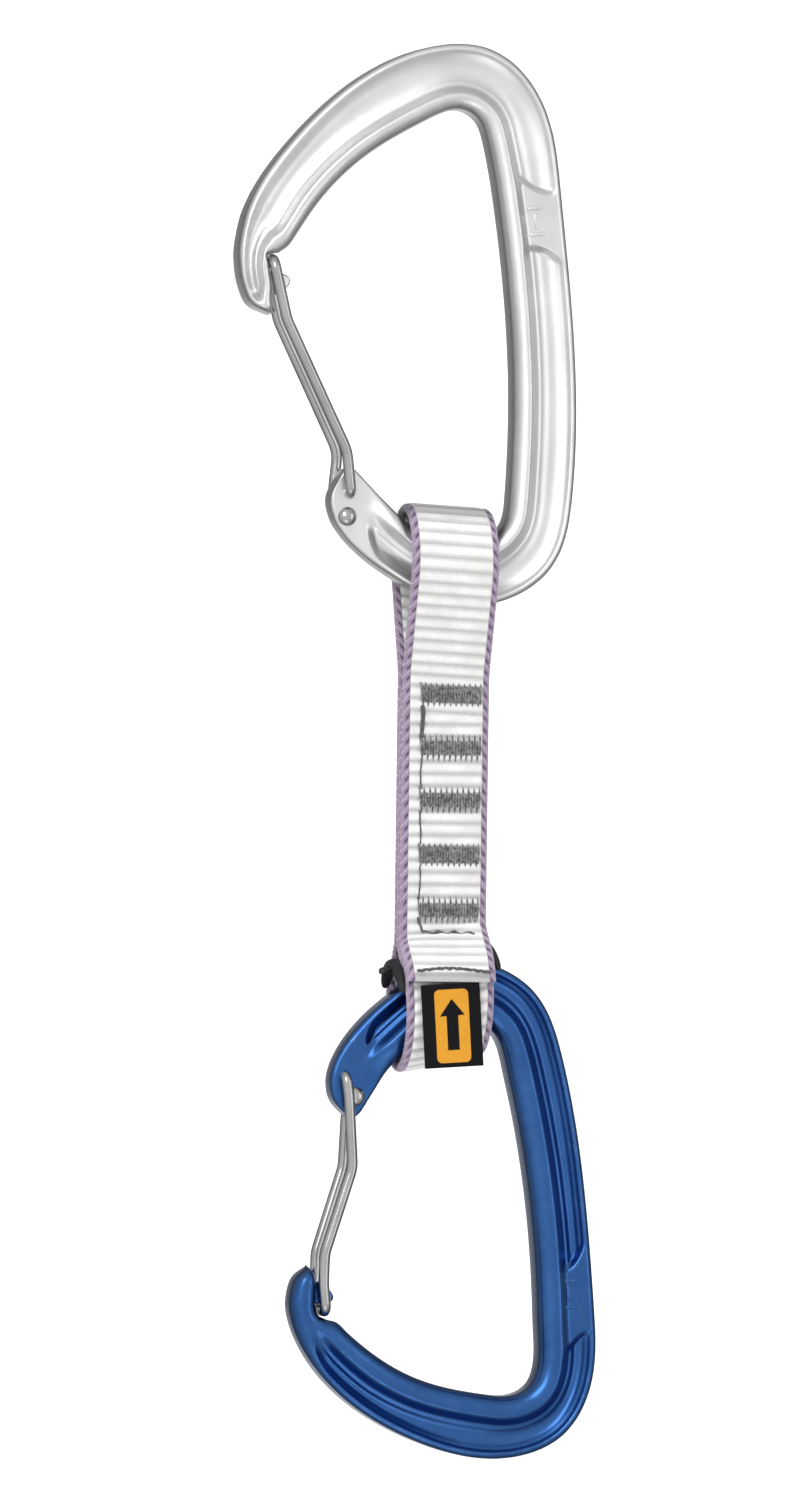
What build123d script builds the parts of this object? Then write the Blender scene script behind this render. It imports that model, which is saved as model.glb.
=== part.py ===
from build123d import *
import math
import os

# Climbing quickdraw: two wire-gate carabiners joined by a sewn webbing sling.
# Millimetres. X runs across the carabiners, Y through their thickness (the
# front face looks towards -Y), Z is up. The origin is the centre of the round
# seat at the top of the upper carabiner, where it hangs on a bolt hanger.
# Both carabiner frames lie about the plane Y = 0.

os.makedirs("parts", exist_ok=True)

# ---------------------------------------------------------------- dimensions
SEAT_R = 6.0              # radius of the upper carabiner's hanger seat
SEAT_A0, SEAT_A1 = 8.0, 129.0   # start and end angle of that seat
BAR_HALF = 5.0            # half thickness of the bar at its inner flange
RIM_HALF = 3.7            # half thickness at the outer rim and the pads
WEB_HALF = 1.9            # half thickness of the thin web in the recesses
RIM_W = 2.2               # width of the outer rim
BAND_W = 3.9              # width of the rounded inner flange
INNER_ROUND = 3.2         # rounding of the rope-bearing edge
OUTER_ROUND = 1.3         # rounding of the outer rim
NOSE_HALF = 4.4           # half thickness of the nose
LOBE_HALF = 3.0           # half thickness of the lobe that holds the gate
HOOK_HALF = 2.2           # half thickness of the hook inside the wire's loop

WIRE_D = 2.0              # gate wire
WIRE_HOLE_R = 1.06        # holes in the lobe
LEG_Y = 4.4               # gate leg centre line beside the lobe
LEG_Y_TOP = 3.8           # and at the nose
PEEN_R, PEEN_H = 1.75, 0.7

WEB_T = 2.05              # webbing thickness
WEB_W = 16.0              # webbing width
PLY = 2.10                # ply pitch in the sewn stack
SLING_LEAN = 0.78         # lean of the whole sling in degrees
TILT_U = -3.12            # tilt of the upper loop against the sling
TILT_L = 11.28            # tilt of the lower loop against the sling
LOOP_RI_U = 8.35          # clear radius inside the upper loop
LOOP_RI_L = 8.6           # clear radius inside the lower loop
UC = (-1.40, -76.20)      # centre of the upper loop (x, z)
LOOP_DIST = 80.76         # from the upper to the lower loop's centre
BARTACK_Z = [-100.31, -109.95, -119.40, -129.40, -139.40]
BARTACK_W, BARTACK_H, BARTACK_T = 11.3, 4.5, 0.45

# Stations along each bar, from the nose to the gate lobe: the outer edge and
# the inner edge at the same place, as (x, z).
UPPER_OUTER = [
    (-34.22, -31.46), (-37.79, -29.52), (-39.42, -25.97), (-40.03, -22.36), (-40.02, -18.83), (-38.96, -13.61),
    (-37.42, -9.88), (-35.95, -7.25), (-34.61, -5.22), (-32.85, -2.86), (-30.75, -0.33), (-28.44, 2.25),
    (-25.99, 4.77), (-23.34, 7.24), (-20.47, 9.62), (-17.41, 11.81), (-14.23, 13.72), (-10.89, 15.36),
    (-7.28, 16.69), (-3.41, 17.62), (0.96, 18.01), (5.78, 17.34), (10.24, 15.02), (13.72, 11.53),
    (16.33, 7.18), (17.88, 2.82), (18.64, -0.66), (19.08, -3.62), (19.41, -6.49), (19.73, -9.66),
    (20.07, -13.00), (20.42, -16.42), (20.77, -19.88), (21.10, -23.34), (21.41, -26.75), (21.68, -30.08),
    (21.93, -33.33), (22.13, -36.53), (22.29, -39.72), (22.41, -42.92), (22.49, -46.14), (22.51, -49.38),
    (22.47, -52.62), (22.37, -55.80), (22.20, -58.88), (21.96, -62.20), (21.55, -66.11), (20.81, -70.43),
    (19.39, -74.59), (16.99, -78.22), (13.66, -80.99), (9.90, -82.86), (5.92, -83.90), (1.90, -84.04),
    (-1.97, -83.36), (-5.61, -82.08), (-9.00, -80.44), (-12.28, -78.52), (-15.45, -76.35), (-18.03, -74.19),
    (-20.35, -71.77), (-22.48, -68.46), (-23.16, -64.29), (-20.96, -60.07),
]
UPPER_INNER = [
    (-34.07, -30.68), (-34.10, -28.40), (-34.01, -25.86), (-34.30, -23.09), (-33.85, -20.57), (-32.70, -20.17),
    (-30.82, -18.87), (-28.83, -16.02), (-26.55, -12.67), (-24.42, -9.94), (-22.28, -7.58), (-20.10, -5.48),
    (-17.86, -3.57), (-15.58, -1.88), (-13.30, -0.38), (-10.97, 1.00), (-8.56, 2.33), (-6.14, 3.60),
    (-3.78, 4.78), (-1.45, 5.69), (0.48, 5.99), (2.03, 5.75), (3.33, 5.12), (4.48, 4.10),
    (5.26, 2.81), (5.82, 1.13), (6.42, -1.40), (7.10, -4.86), (7.70, -8.52), (8.17, -11.77),
    (8.59, -14.84), (8.97, -17.84), (9.31, -20.81), (9.63, -23.79), (9.91, -26.81), (10.17, -29.92),
    (10.39, -33.11), (10.58, -36.36), (10.72, -39.63), (10.81, -42.89), (10.84, -46.12), (10.83, -49.34),
    (10.76, -52.57), (10.64, -55.86), (10.47, -59.28), (10.27, -62.36), (10.08, -64.79), (9.85, -66.90),
    (9.22, -68.88), (7.98, -70.56), (6.34, -71.89), (4.33, -72.90), (2.06, -73.48), (-0.36, -73.55),
    (-2.83, -73.03), (-5.18, -71.93), (-7.38, -70.38), (-9.39, -68.64), (-11.30, -66.84), (-13.51, -64.68),
    (-15.67, -62.47), (-17.40, -60.62), (-19.02, -59.20), (-20.57, -59.25),
]
LOWER_OUTER = [
    (-26.03, -203.86), (-29.64, -206.10), (-30.67, -209.69), (-30.51, -212.87), (-29.32, -216.64), (-27.48, -220.13),
    (-25.44, -223.05), (-23.32, -225.47), (-21.06, -227.63), (-18.48, -229.71), (-15.56, -231.69), (-12.43, -233.49),
    (-9.18, -235.07), (-5.78, -236.47), (-2.42, -237.62), (0.79, -238.46), (4.06, -238.99), (7.70, -239.16),
    (11.85, -238.72), (16.07, -237.43), (19.83, -235.16), (22.74, -231.80), (24.63, -227.89), (25.68, -223.85),
    (26.07, -220.04), (26.08, -216.46), (25.91, -213.19), (25.71, -210.14), (25.49, -207.06), (25.26, -203.89),
    (25.01, -200.71), (24.74, -197.53), (24.45, -194.36), (24.13, -191.21), (23.78, -188.08), (23.39, -184.94),
    (22.95, -181.78), (22.46, -178.61), (21.90, -175.41), (21.28, -172.19), (20.58, -168.94), (19.70, -165.33),
    (18.56, -161.40), (16.97, -157.63), (14.66, -154.26), (11.64, -151.67), (7.90, -149.74), (3.49, -148.66),
    (-0.84, -148.87), (-4.42, -150.20), (-7.57, -151.95), (-10.54, -153.89), (-13.36, -155.98), (-16.35, -158.60),
    (-19.07, -161.57), (-21.03, -164.35), (-22.63, -167.64), (-23.19, -170.88), (-22.35, -174.16), (-19.30, -177.39),
]
LOWER_INNER = [
    (-25.97, -205.23), (-25.77, -206.98), (-25.82, -209.39), (-25.61, -212.45), (-23.93, -213.50), (-21.85, -214.15),
    (-19.93, -215.98), (-17.65, -217.96), (-15.18, -219.87), (-12.76, -221.50), (-10.41, -222.86), (-8.04, -224.00),
    (-5.60, -224.95), (-3.14, -225.71), (-0.54, -226.35), (2.36, -226.92), (5.27, -227.39), (7.76, -227.71),
    (9.80, -227.70), (11.61, -227.28), (13.22, -226.43), (14.41, -225.12), (15.13, -223.37), (15.49, -221.35),
    (15.58, -218.96), (15.46, -216.29), (15.34, -213.35), (15.25, -210.17), (15.12, -207.01), (14.96, -203.94),
    (14.75, -200.91), (14.50, -197.87), (14.20, -194.83), (13.85, -191.77), (13.46, -188.71), (13.02, -185.66),
    (12.54, -182.66), (12.02, -179.67), (11.46, -176.73), (10.85, -173.83), (10.21, -170.97), (9.67, -168.54),
    (9.20, -166.43), (8.63, -164.37), (7.67, -162.46), (6.12, -160.83), (4.40, -159.79), (2.78, -159.23),
    (0.93, -159.00), (-1.41, -159.30), (-3.83, -160.39), (-5.90, -162.12), (-7.76, -164.12), (-9.37, -165.69),
    (-11.17, -166.96), (-13.06, -169.07), (-14.47, -171.24), (-16.04, -173.69), (-17.59, -176.05), (-18.93, -177.15),
]

# ------------------------------------------------------------------ helpers
def v(p, y=0.0):
    return Vector(p[0], y, p[1])


def tangent(pts, i):
    a, b = pts[max(i - 1, 0)], pts[min(i + 1, len(pts) - 1)]
    return Vector(b[0] - a[0], 0, b[1] - a[1]).normalized()


def curve(pts, i0, i1, step=2):
    """Smooth edge through a run of stations, tangent to its neighbours."""
    idx = list(range(i0, i1, step))
    if i1 - idx[-1] < step and len(idx) > 2:
        idx[-1] = i1
    else:
        idx.append(i1)
    return Spline([v(pts[i]) for i in idx], tangents=[tangent(pts, i0), tangent(pts, i1)])


def face_of(edges):
    return Face(Wire(edges))


def slab(face, half):
    return extrude(face, amount=half, dir=(0, 1, 0), both=True)


def between(o, i, w):
    """Point w mm from the outer station o towards the inner one; a negative
    w counts from the inner station."""
    d = math.hypot(i[0] - o[0], i[1] - o[1])
    k = w / d if w >= 0 else 1 + w / d
    return (o[0] + (i[0] - o[0]) * k, o[1] + (i[1] - o[1]) * k)


def try_fillet(solid, edges, radii):
    for r in radii:
        try:
            s = fillet(edges, r)
            if s.is_valid and s.volume > 0:
                return s
        except Exception:
            pass
    return solid


def edges_on(solid, pts, half, tol=0.25):
    """Edges at |Y| = half whose middle lies on the polyline pts."""
    out = []
    for e in solid.edges():
        m = e.position_at(0.5)
        if abs(abs(m.Y) - half) > 0.01 or abs(e.position_at(0).Y - e.position_at(1).Y) > 0.01:
            continue
        best = 1e9
        for a, b in zip(pts, pts[1:]):
            dx, dz = b[0] - a[0], b[1] - a[1]
            t = ((m.X - a[0]) * dx + (m.Z - a[1]) * dz) / max(dx * dx + dz * dz, 1e-9)
            t = min(1, max(0, t))
            best = min(best, math.hypot(m.X - a[0] - t * dx, m.Z - a[1] - t * dz))
        if best < tol:
            out.append(e)
    return out


def recess(outer, inner, i0, i1, rim, band, bulge0, bulge1, step=2):
    """Cutters for one recess between the rim and the inner flange, one for
    each face of the bar."""
    a = [between(o, i, rim) for o, i in zip(outer, inner)]
    b = [between(o, i, -band) for o, i in zip(outer, inner)]
    top, bot = curve(a, i0, i1, step), curve(b, i0, i1, step)

    def cap(k, d):
        t = tangent(a, k)
        m = ((a[k][0] + b[k][0]) / 2 + t.X * d, (a[k][1] + b[k][1]) / 2 + t.Z * d)
        return ThreePointArc(v(a[k]), v(m), v(b[k]))
    f = face_of([top, cap(i1, bulge1), bot, cap(i0, -bulge0)])
    one = Pos(0, WEB_HALF, 0) * Solid.extrude(f, Vector(0, 5.0, 0))
    two = Pos(0, -WEB_HALF, 0) * Solid.extrude(f, Vector(0, -5.0, 0))
    return [one, two]


def carabiner(outer, inner, first, last, cuts, recesses, arc, hook, u_bar, holes):
    """One frame. first and last are the stations where the full bar begins
    and ends; the nose and the gate lobe are joined on beyond them."""
    o_edges = [curve(outer, first, cuts[0]), curve(outer, cuts[0], cuts[1]),
               curve(outer, cuts[1], cuts[2]), curve(outer, cuts[2], last)]
    if arc:
        k0, k1, c0, c1 = arc
        p0 = (SEAT_R * math.cos(math.radians(SEAT_A1)), SEAT_R * math.sin(math.radians(SEAT_A1)))
        p1 = (SEAT_R * math.cos(math.radians(SEAT_A0)), SEAT_R * math.sin(math.radians(SEAT_A0)))
        am = math.radians((SEAT_A0 + SEAT_A1) / 2)
        t0 = Vector(math.sin(math.radians(SEAT_A1)), 0, -math.cos(math.radians(SEAT_A1)))
        t1 = Vector(math.sin(math.radians(SEAT_A0)), 0, -math.cos(math.radians(SEAT_A0)))
        run0 = [v(inner[i]) for i in range(first, k0 + 1, 2)] + [v(p0)]
        run1 = [v(p1)] + [v(inner[i]) for i in range(k1, c0 + 1, 2)]
        if (c0 - k1) % 2:
            run1[-1] = v(inner[c0])
        i_edges = [Spline(run0, tangents=[tangent(inner, first), t0]),
                   ThreePointArc(v(p0), Vector(SEAT_R * math.cos(am), 0, SEAT_R * math.sin(am)), v(p1)),
                   Spline(run1, tangents=[t1, tangent(inner, c0)]),
                   curve(inner, c0, c1), curve(inner, c1, last)]
    else:
        i_edges = [curve(inner, first, cuts[0]), curve(inner, cuts[0], cuts[1]),
                   curve(inner, cuts[1], cuts[2]), curve(inner, cuts[2], last)]
    ends = [Line(v(outer[first]), v(inner[first])), Line(v(outer[last]), v(inner[last]))]
    bar = slab(face_of(o_edges + i_edges + ends), BAR_HALF)
    bar = try_fillet(bar, edges_on(bar, inner[first:last + 1], BAR_HALF), [INNER_ROUND, 2.6, 2.0, 1.2])

    # the outer part of the bar is thinner than the inner flange
    far = [between(o, i, -(math.hypot(i[0] - o[0], i[1] - o[1]) + 3.0)) for o, i in zip(outer, inner)]
    mid = [between(o, i, -BAND_W) for o, i in zip(outer, inner)]
    step = slab(face_of([curve(far, first, last), Line(v(far[last]), v(mid[last])),
                         curve(mid, first, last), Line(v(mid[first]), v(far[first]))]), 8)
    bar = bar - (step - Box(400, 2 * RIM_HALF, 800))
    bar = try_fillet(bar, edges_on(bar, outer[first:last + 1], RIM_HALF), [OUTER_ROUND, 0.8])

    # nose
    tip = (outer[0][0] + (inner[0][0] - outer[0][0]) / 2, (outer[0][1] + inner[0][1]) / 2)
    td = tangent(outer, 0)
    tipm = (tip[0] - td.X * 0.3, tip[1] - td.Z * 0.3)
    nose = slab(face_of([curve(outer, 0, first + 1, 1), Line(v(outer[first + 1]), v(inner[first + 1])),
                         curve(inner, 0, first + 1, 1), ThreePointArc(v(outer[0]), v(tipm), v(inner[0]))]),
                NOSE_HALF)
    nose = try_fillet(nose, edges_on(nose, outer[0:first + 1], NOSE_HALF), [2.2, 1.6, 1.0])
    nose = try_fillet(nose, edges_on(nose, inner[0:2], NOSE_HALF), [1.2, 0.8])

    # gate lobe
    n = len(outer) - 1
    td = tangent(outer, n)
    tip = ((outer[n][0] + inner[n][0]) / 2 + td.X * 0.3, (outer[n][1] + inner[n][1]) / 2 + td.Z * 0.3)
    lobe = slab(face_of([curve(outer, last - 1, n, 1), Line(v(outer[last - 1]), v(inner[last - 1])),
                         curve(inner, last - 1, n, 1), ThreePointArc(v(outer[n]), v(tip), v(inner[n]))]),
                LOBE_HALF)
    lobe = try_fillet(lobe, edges_on(lobe, outer[last:n + 1], LOBE_HALF), [0.9, 0.5])

    hk = slab(face_of([Line(v(a), v(b)) for a, b in zip(hook, hook[1:] + hook[:1])]), HOOK_HALF)
    body = bar + nose + lobe + hk
    for r in recesses:
        for step in (2, 3, 1, 4):
            cut = body
            for c in recess(outer, inner, *r, step):
                cut = cut - c
            if cut.is_valid and 0.75 * body.volume < cut.volume < body.volume:
                body = cut
                break
    bar_slot = Pos(u_bar[0], 0, u_bar[1]) * Rot(90, 0, 0) * Cylinder(WIRE_D / 2 + 0.2, 20)
    body = body - bar_slot
    for h in holes:
        body = body - Pos(h[0], 0, h[1]) * Rot(90, 0, 0) * Cylinder(WIRE_HOLE_R, 20)
    return body


def peen(p, side):
    """Peened end of a gate pin, a low dome on the lobe's face."""
    r = (PEEN_R ** 2 + PEEN_H ** 2) / (2 * PEEN_H)
    base = LOBE_HALF + 0.01
    s = Pos(p[0], side * (base + PEEN_H - r), p[1]) * Sphere(r)
    return s & (Pos(p[0], side * (base + 2), p[1]) * Box(8, 4, 8))


def wire_along(points, radii):
    path = FilletPolyline(*[Vector(*p) for p in points], radius=radii)
    w = path.wire() if hasattr(path, "wire") else Wire(path.edges())
    t = (Vector(*points[1]) - Vector(*points[0])).normalized()
    prof = Plane(origin=Vector(*points[0]), z_dir=t) * Circle(WIRE_D / 2)
    return sweep(prof, path=w)


def gate(a, b, bm, bends, u, s):
    """Gate wire. a is the hinge hole, entered from side s (-1 front); b is
    the other hole, entered from the opposite side; bends are the two bends of
    each leg; u is the bar across the nose. The leg into b is a piece of its
    own up to its first bend: it twists as the gate opens."""
    v1, v2 = bends[0], bends[1]
    y1, y2, y3 = LEG_Y - 0.1, LEG_Y - 0.35, LEG_Y_TOP
    split = ((v1[0] + v2[0]) / 2, (v1[1] + v2[1]) / 2)
    ys = (y1 + y2) / 2
    pts = [(a[0], -s * (LOBE_HALF + 0.2), a[1]), (a[0], s * LEG_Y, a[1]),
           (v1[0], s * y1, v1[1]), (v2[0], s * y2, v2[1])]
    rad = [1.3, 9.0, 9.0]
    for e in bends[2:]:
        pts.append((e[0], s * y3, e[1]))
        rad.append(8.0)
    pts += [(u[0], s * y3, u[1]), (u[0], -s * y3, u[1])]
    rad += [1.6, 1.6]
    for e in reversed(bends[2:]):
        pts.append((e[0], -s * y3, e[1]))
        rad.append(8.0)
    pts += [(v2[0], -s * y2, v2[1]), (split[0], -s * ys, split[1])]
    rad += [9.0]
    main = wire_along(pts, rad) + peen(a, -s)
    tail = wire_along([(split[0], -s * ys, split[1]), (v1[0], -s * y1, v1[1]), (bm[0], -s * LEG_Y, bm[1]),
                       (b[0], -s * LEG_Y, b[1]), (b[0], s * (LOBE_HALF + 0.2), b[1])],
                      [7.0, 7.0, 1.3]) + peen(b, s)
    return main, tail


# -------------------------------------------------------------- carabiners
upper = carabiner(UPPER_OUTER, UPPER_INNER, 6, 59, (19, 28, 48),
                  [(8, 29, RIM_W, BAND_W + 0.35, 2.0, 1.2), (32, 60, RIM_W, BAND_W + 0.35, 1.0, 1.6)],
                  (17, 27, 44, 53),
                  [(-36.0, -23.3), (-32.6, -23.6), (-30.7, -24.4), (-30.3, -25.3), (-31.0, -26.5),
                   (-33.0, -27.8), (-36.0, -28.6)],
                  (-33.87, -21.40), [(-19.73, -63.77), (-20.15, -67.95)])
u_gate, u_tail = gate((-19.73, -63.77), (-20.15, -67.95), (-21.33, -63.95),
                      [(-20.45, -56.13), (-31.51, -32.31)], (-33.87, -21.40), -1)

# grooves down both sides of the hook where the gate's legs rest
groove_axis = Vector(-31.51 + 33.87, 0, -32.31 + 21.40).normalized()
for side in (-1, 1):
    upper = upper - Plane(origin=Vector(-33.87, side * LEG_Y_TOP, -21.40) + groove_axis * 3.0,
                          z_dir=groove_axis) * Cylinder(WIRE_D / 2 + 0.3, 8.4)

lower = carabiner(LOWER_OUTER, LOWER_INNER, 6, 55, (17, 28, 44),
                  [(7, 25, RIM_W, BAND_W + 0.5, 2.0, 1.0), (29, 55, RIM_W, BAND_W + 0.35, 1.2, 1.6)],
                  None,
                  [(-27.5, -206.2), (-24.5, -206.9), (-23.0, -208.3), (-22.3, -209.6), (-22.9, -210.5),
                   (-24.3, -210.7), (-27.5, -210.7)],
                  (-24.26, -212.04), [(-18.63, -173.15), (-20.60, -169.33)])
l_gate, l_tail = gate((-18.63, -173.15), (-20.60, -169.33), (-20.10, -173.10),
                      [(-19.45, -186.0), (-24.55, -201.6), (-24.71, -207.0)], (-24.26, -212.04), 1)

# ------------------------------------------------------------------- sling
# One strap: from its lower front end up the front, round the upper bar, down
# the back, round the lower bar, and up the middle of the sewn stack.
# Sides are drawn in the Y-Z plane, with the upper loop's centre at (0, 0).


def leg(ys, s, up, rho, zth, c, r):
    """Stack line -> throat arc -> straight -> start of the loop's arc."""
    dz = abs(c - zth)
    ky = -ys * s                    # stack line, with the loop's side taken as the front
    px = rho - ky
    d = math.hypot(px, dz)
    phi = math.atan2(dz, px)
    al = phi - math.acos((r + rho) / d)

    def m(y, z):                    # canonical frame has the loop above, on the -Y side
        return (y if s < 0 else -y, zth + (z if up > 0 else -z))
    n = (math.cos(al), math.sin(al))
    t = (ky - rho, 0.0)
    hm = (math.cos(al / 2), math.sin(al / 2))
    a = {"k": "A", "c": m(*t), "r": rho, "p": [m(t[0] + rho, 0), m(t[0] + rho * hm[0], rho * hm[1]),
                                              m(t[0] + rho * n[0], rho * n[1])]}
    q = (0 - r * n[0], dz - r * n[1])
    line = {"k": "L", "p": [m(t[0] + rho * n[0], rho * n[1]), m(*q)]}
    return [a, line], math.degrees(al)


def loop_arc(c, r, a0, a1):
    am = (a0 + a1) / 2
    pt = lambda a: (r * math.cos(math.radians(a)), c + r * math.sin(math.radians(a)))
    return {"k": "A", "c": (0.0, c), "r": r, "p": [pt(a0), pt(am), pt(a1)]}


def rev(segs):
    return [dict(s, p=list(reversed(s["p"]))) for s in reversed(segs)]


def shifted(seg, d):
    """The same segment moved d to the left of its direction of travel."""
    p = seg["p"]
    if seg["k"] == "L":
        dy, dz = p[1][0] - p[0][0], p[1][1] - p[0][1]
        k = math.hypot(dy, dz)
        return [(q[0] - dz / k * d, q[1] + dy / k * d) for q in p]
    c, r = seg["c"], seg["r"]
    cr = (p[0][0] - c[0]) * (p[1][1] - p[0][1]) - (p[0][1] - c[1]) * (p[1][0] - p[0][0])
    k = (r - d) / r if cr > 0 else (r + d) / r
    return [(c[0] + (q[0] - c[0]) * k, c[1] + (q[1] - c[1]) * k) for q in p]


def strap_face(segs, t, x, z0):
    g = lambda q: Vector(x, q[0], q[1] + z0)
    left, right = [shifted(s, t / 2) for s in segs], [shifted(s, -t / 2) for s in segs]
    e = []
    for side in (left, right):
        for s in side:
            e.append(Line(g(s[0]), g(s[1])) if len(s) == 2 else ThreePointArc(g(s[0]), g(s[1]), g(s[2])))
    e.append(Line(g(left[0][0]), g(right[0][0])))
    e.append(Line(g(left[-1][-1]), g(right[-1][-1])))
    return Face(Wire(e))


CL = -LOOP_DIST
Z_THU, Z_THL = -21.8, CL + 14.7
R_U = LOOP_RI_U + WEB_T / 2
R_L = LOOP_RI_L + WEB_T / 2
RHO_U, RHO_L = 8.0, 5.0
M_TOP = -23.2
fu, afu = leg(-PLY, -1, 1, RHO_U, Z_THU, 0.0, R_U)
bu, abu = leg(PLY, 1, 1, RHO_U, Z_THU, 0.0, R_U)
fl, afl = leg(-PLY, -1, -1, RHO_L - PLY, Z_THL, CL, R_L + PLY)
ml, aml = leg(0.0, -1, -1, RHO_L, Z_THL, CL, R_L)
bl, abl = leg(PLY, 1, -1, RHO_L - 1.0, Z_THL, CL, R_L)
path = rev(fl + [loop_arc(CL, R_L + PLY, 180 - afl, 192)])
path += [{"k": "L", "p": [(-PLY, Z_THL), (-PLY, Z_THU)]}]
path += fu + [loop_arc(0.0, R_U, 180 + afu, -abu)] + rev(bu)
path += [{"k": "L", "p": [(PLY, Z_THU), (PLY, Z_THL)]}]
path += bl + [loop_arc(CL, R_L, abl, -180 - aml)] + rev(ml)
path += [{"k": "L", "p": [(0.0, Z_THL), (0.0, M_TOP)]}]


def tilted(tilt, centre):
    """The strap's side drawn out across its width, along a tilted line."""
    k = math.tan(math.radians(tilt))
    f = strap_face(path, WEB_T, -WEB_W / 2, -k * WEB_W / 2)
    return Solid.extrude(f, Vector(WEB_W, 0, k * WEB_W))


Z_MID = -45.0
half_u = tilted(TILT_U, 0) & (Pos(0, 0, Z_MID + 100) * Box(60, 60, 200))
half_l = tilted(TILT_L, CL) & (Pos(0, 0, Z_MID - 100) * Box(60, 60, 200))
sling = half_u + half_l

# the outer ply ends in a level hem just above the label
HEM_Z = -76.06
kl = math.tan(math.radians(TILT_L))
core_face = Face(Wire([ThreePointArc(Vector(-20, 0, CL - R_L - PLY + WEB_T / 2 + 0.02 - 20 * kl),
                                     Vector(-20, R_L + PLY - WEB_T / 2 - 0.02, CL - 20 * kl),
                                     Vector(-20, 0, CL + R_L + PLY - WEB_T / 2 - 0.02 - 20 * kl)),
                       ThreePointArc(Vector(-20, 0, CL + R_L + PLY - WEB_T / 2 - 0.02 - 20 * kl),
                                     Vector(-20, -(R_L + PLY - WEB_T / 2 - 0.02), CL - 20 * kl),
                                     Vector(-20, 0, CL - R_L - PLY + WEB_T / 2 + 0.02 - 20 * kl))]))
core = Solid.extrude(core_face, Vector(40, 0, 40 * kl))
sling = sling - ((Pos(0, -10, HEM_Z - 6) * Box(40, 16, 12)) - core)

# sling frame to the part's frame
to_part = Pos(UC[0], 0, UC[1]) * Rot(0, SLING_LEAN, 0)


def local_z(z):
    return z - UC[1]


# ----------------------------------------------------------------- bartacks
FACE_Y = PLY + WEB_T / 2
TACK_X = 0.70             # the tacks sit a little right of the strap's middle
STITCH_R, HOLE_R = 0.40, 0.43


def zigzag(z, y, thick):
    n, w, h, a = 10, BARTACK_W, BARTACK_H, 0.42
    pts = []
    for k in range(n):
        x = -w / 2 + w * k / n
        pts += [(x, h / 2 - a), (x + w / n / 2, h / 2)]
    pts.append((w / 2, h / 2 - a))
    for k in range(n):
        x = w / 2 - w * k / n
        pts += [(x, -h / 2 + a), (x - w / n / 2, -h / 2)]
    pts.append((-w / 2, -h / 2 + a))
    q = [Vector(p[0] + TACK_X, y, p[1] + z) for p in pts]
    q = [p for i, p in enumerate(q) if (p - q[i - 1]).length > 1e-6]
    f = Face(Wire([Line(q[i], q[(i + 1) % len(q)]) for i in range(len(q))]))
    return Solid.extrude(f, Vector(0, thick, 0))


tacks = []
for zt in BARTACK_Z:
    z = local_z(zt)
    body = zigzag(z, -FACE_Y - BARTACK_T, BARTACK_T) + zigzag(z, FACE_Y, BARTACK_T)
    for dx in (-4.4, 4.4):
        body = body + Pos(dx + TACK_X, 0, z) * Rot(90, 0, 0) * Cylinder(STITCH_R, 2 * FACE_Y + 0.3)
        sling = sling - Pos(dx + TACK_X, 0, z) * Rot(90, 0, 0) * Cylinder(HOLE_R, 2 * FACE_Y + 4)
    tacks.append(body)

# thread that runs down the front from one tack to the next, and its tail
runs = []
TH_W, TH_T = 0.55, 0.32
for z0, z1 in zip(BARTACK_Z, BARTACK_Z[1:]):
    top, bot = local_z(z0) - BARTACK_H / 2 + 0.35, local_z(z1) + BARTACK_H / 2 - 0.35
    runs.append(Pos(-BARTACK_W / 2 + TACK_X + 0.4, -FACE_Y - TH_T / 2, (top + bot) / 2 - 0.0)
                * Box(TH_W, TH_T, top - bot - 1.2))
zt = local_z(BARTACK_Z[-1]) - BARTACK_H / 2 - 0.38
runs.append(Pos(TACK_X - 0.6, -FACE_Y - TH_T / 2, zt) * Box(9.2, TH_T, 0.45))

# --------------------------------------------------------- hem stitches
LC = Vector(UC[0] - LOOP_DIST * math.sin(math.radians(SLING_LEAN)), 0,
            UC[1] - LOOP_DIST * math.cos(math.radians(SLING_LEAN)))
GT = math.tan(math.radians(TILT_L - SLING_LEAN))
R_HEM = R_L + PLY + WEB_T / 2
stitches = []
SEAM_Z = -150.35
for k in range(8):
    xa, xb = -8.3 + k * 1.62, -8.3 + k * 1.62 + 1.15
    rr = R_HEM + 0.27

    def on(x):
        zc = LC.Z + GT * (x - LC.X)
        return Vector(x, -math.sqrt(rr * rr - (SEAM_Z - zc) ** 2) - 0.02, SEAM_Z + 0.02 * (x + 2.5))
    a, b = on(xa), on(xb)
    stitches.append(Plane(origin=(a + b) * 0.5, z_dir=(b - a).normalized()) * Cylinder(0.22, (b - a).length))

# ------------------------------------------------------------ rubber keeper
# A strip between the bar and the webbing with a half ring at each end.
def sector(r0, r1, e0, e1, x0, x1):
    pt = lambda r, e: Vector(x0, -r * math.cos(math.radians(e)), r * math.sin(math.radians(e)))
    em = (e0 + e1) / 2
    f = Face(Wire([ThreePointArc(pt(r1, e0), pt(r1, em), pt(r1, e1)), Line(pt(r1, e1), pt(r0, e1)),
                   ThreePointArc(pt(r0, e1), pt(r0, em), pt(r0, e0)), Line(pt(r0, e0), pt(r1, e0))]))
    return Solid.extrude(f, Vector(x1 - x0, 0, 0))


KEEP_R, KEEP_T = 8.25, 0.85
keeper = (sector(KEEP_R, KEEP_R + KEEP_T, 76, 112, -9.5, 11.4)
          + sector(KEEP_R, KEEP_R + 1.7, 6, 174, -9.5, -8.4)
          + sector(KEEP_R, KEEP_R + 1.6, 32, 148, 10.3, 11.4))
keeper = Pos(LC.X, 0, LC.Z) * Rot(0, -(TILT_L - SLING_LEAN), 0) * keeper

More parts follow.
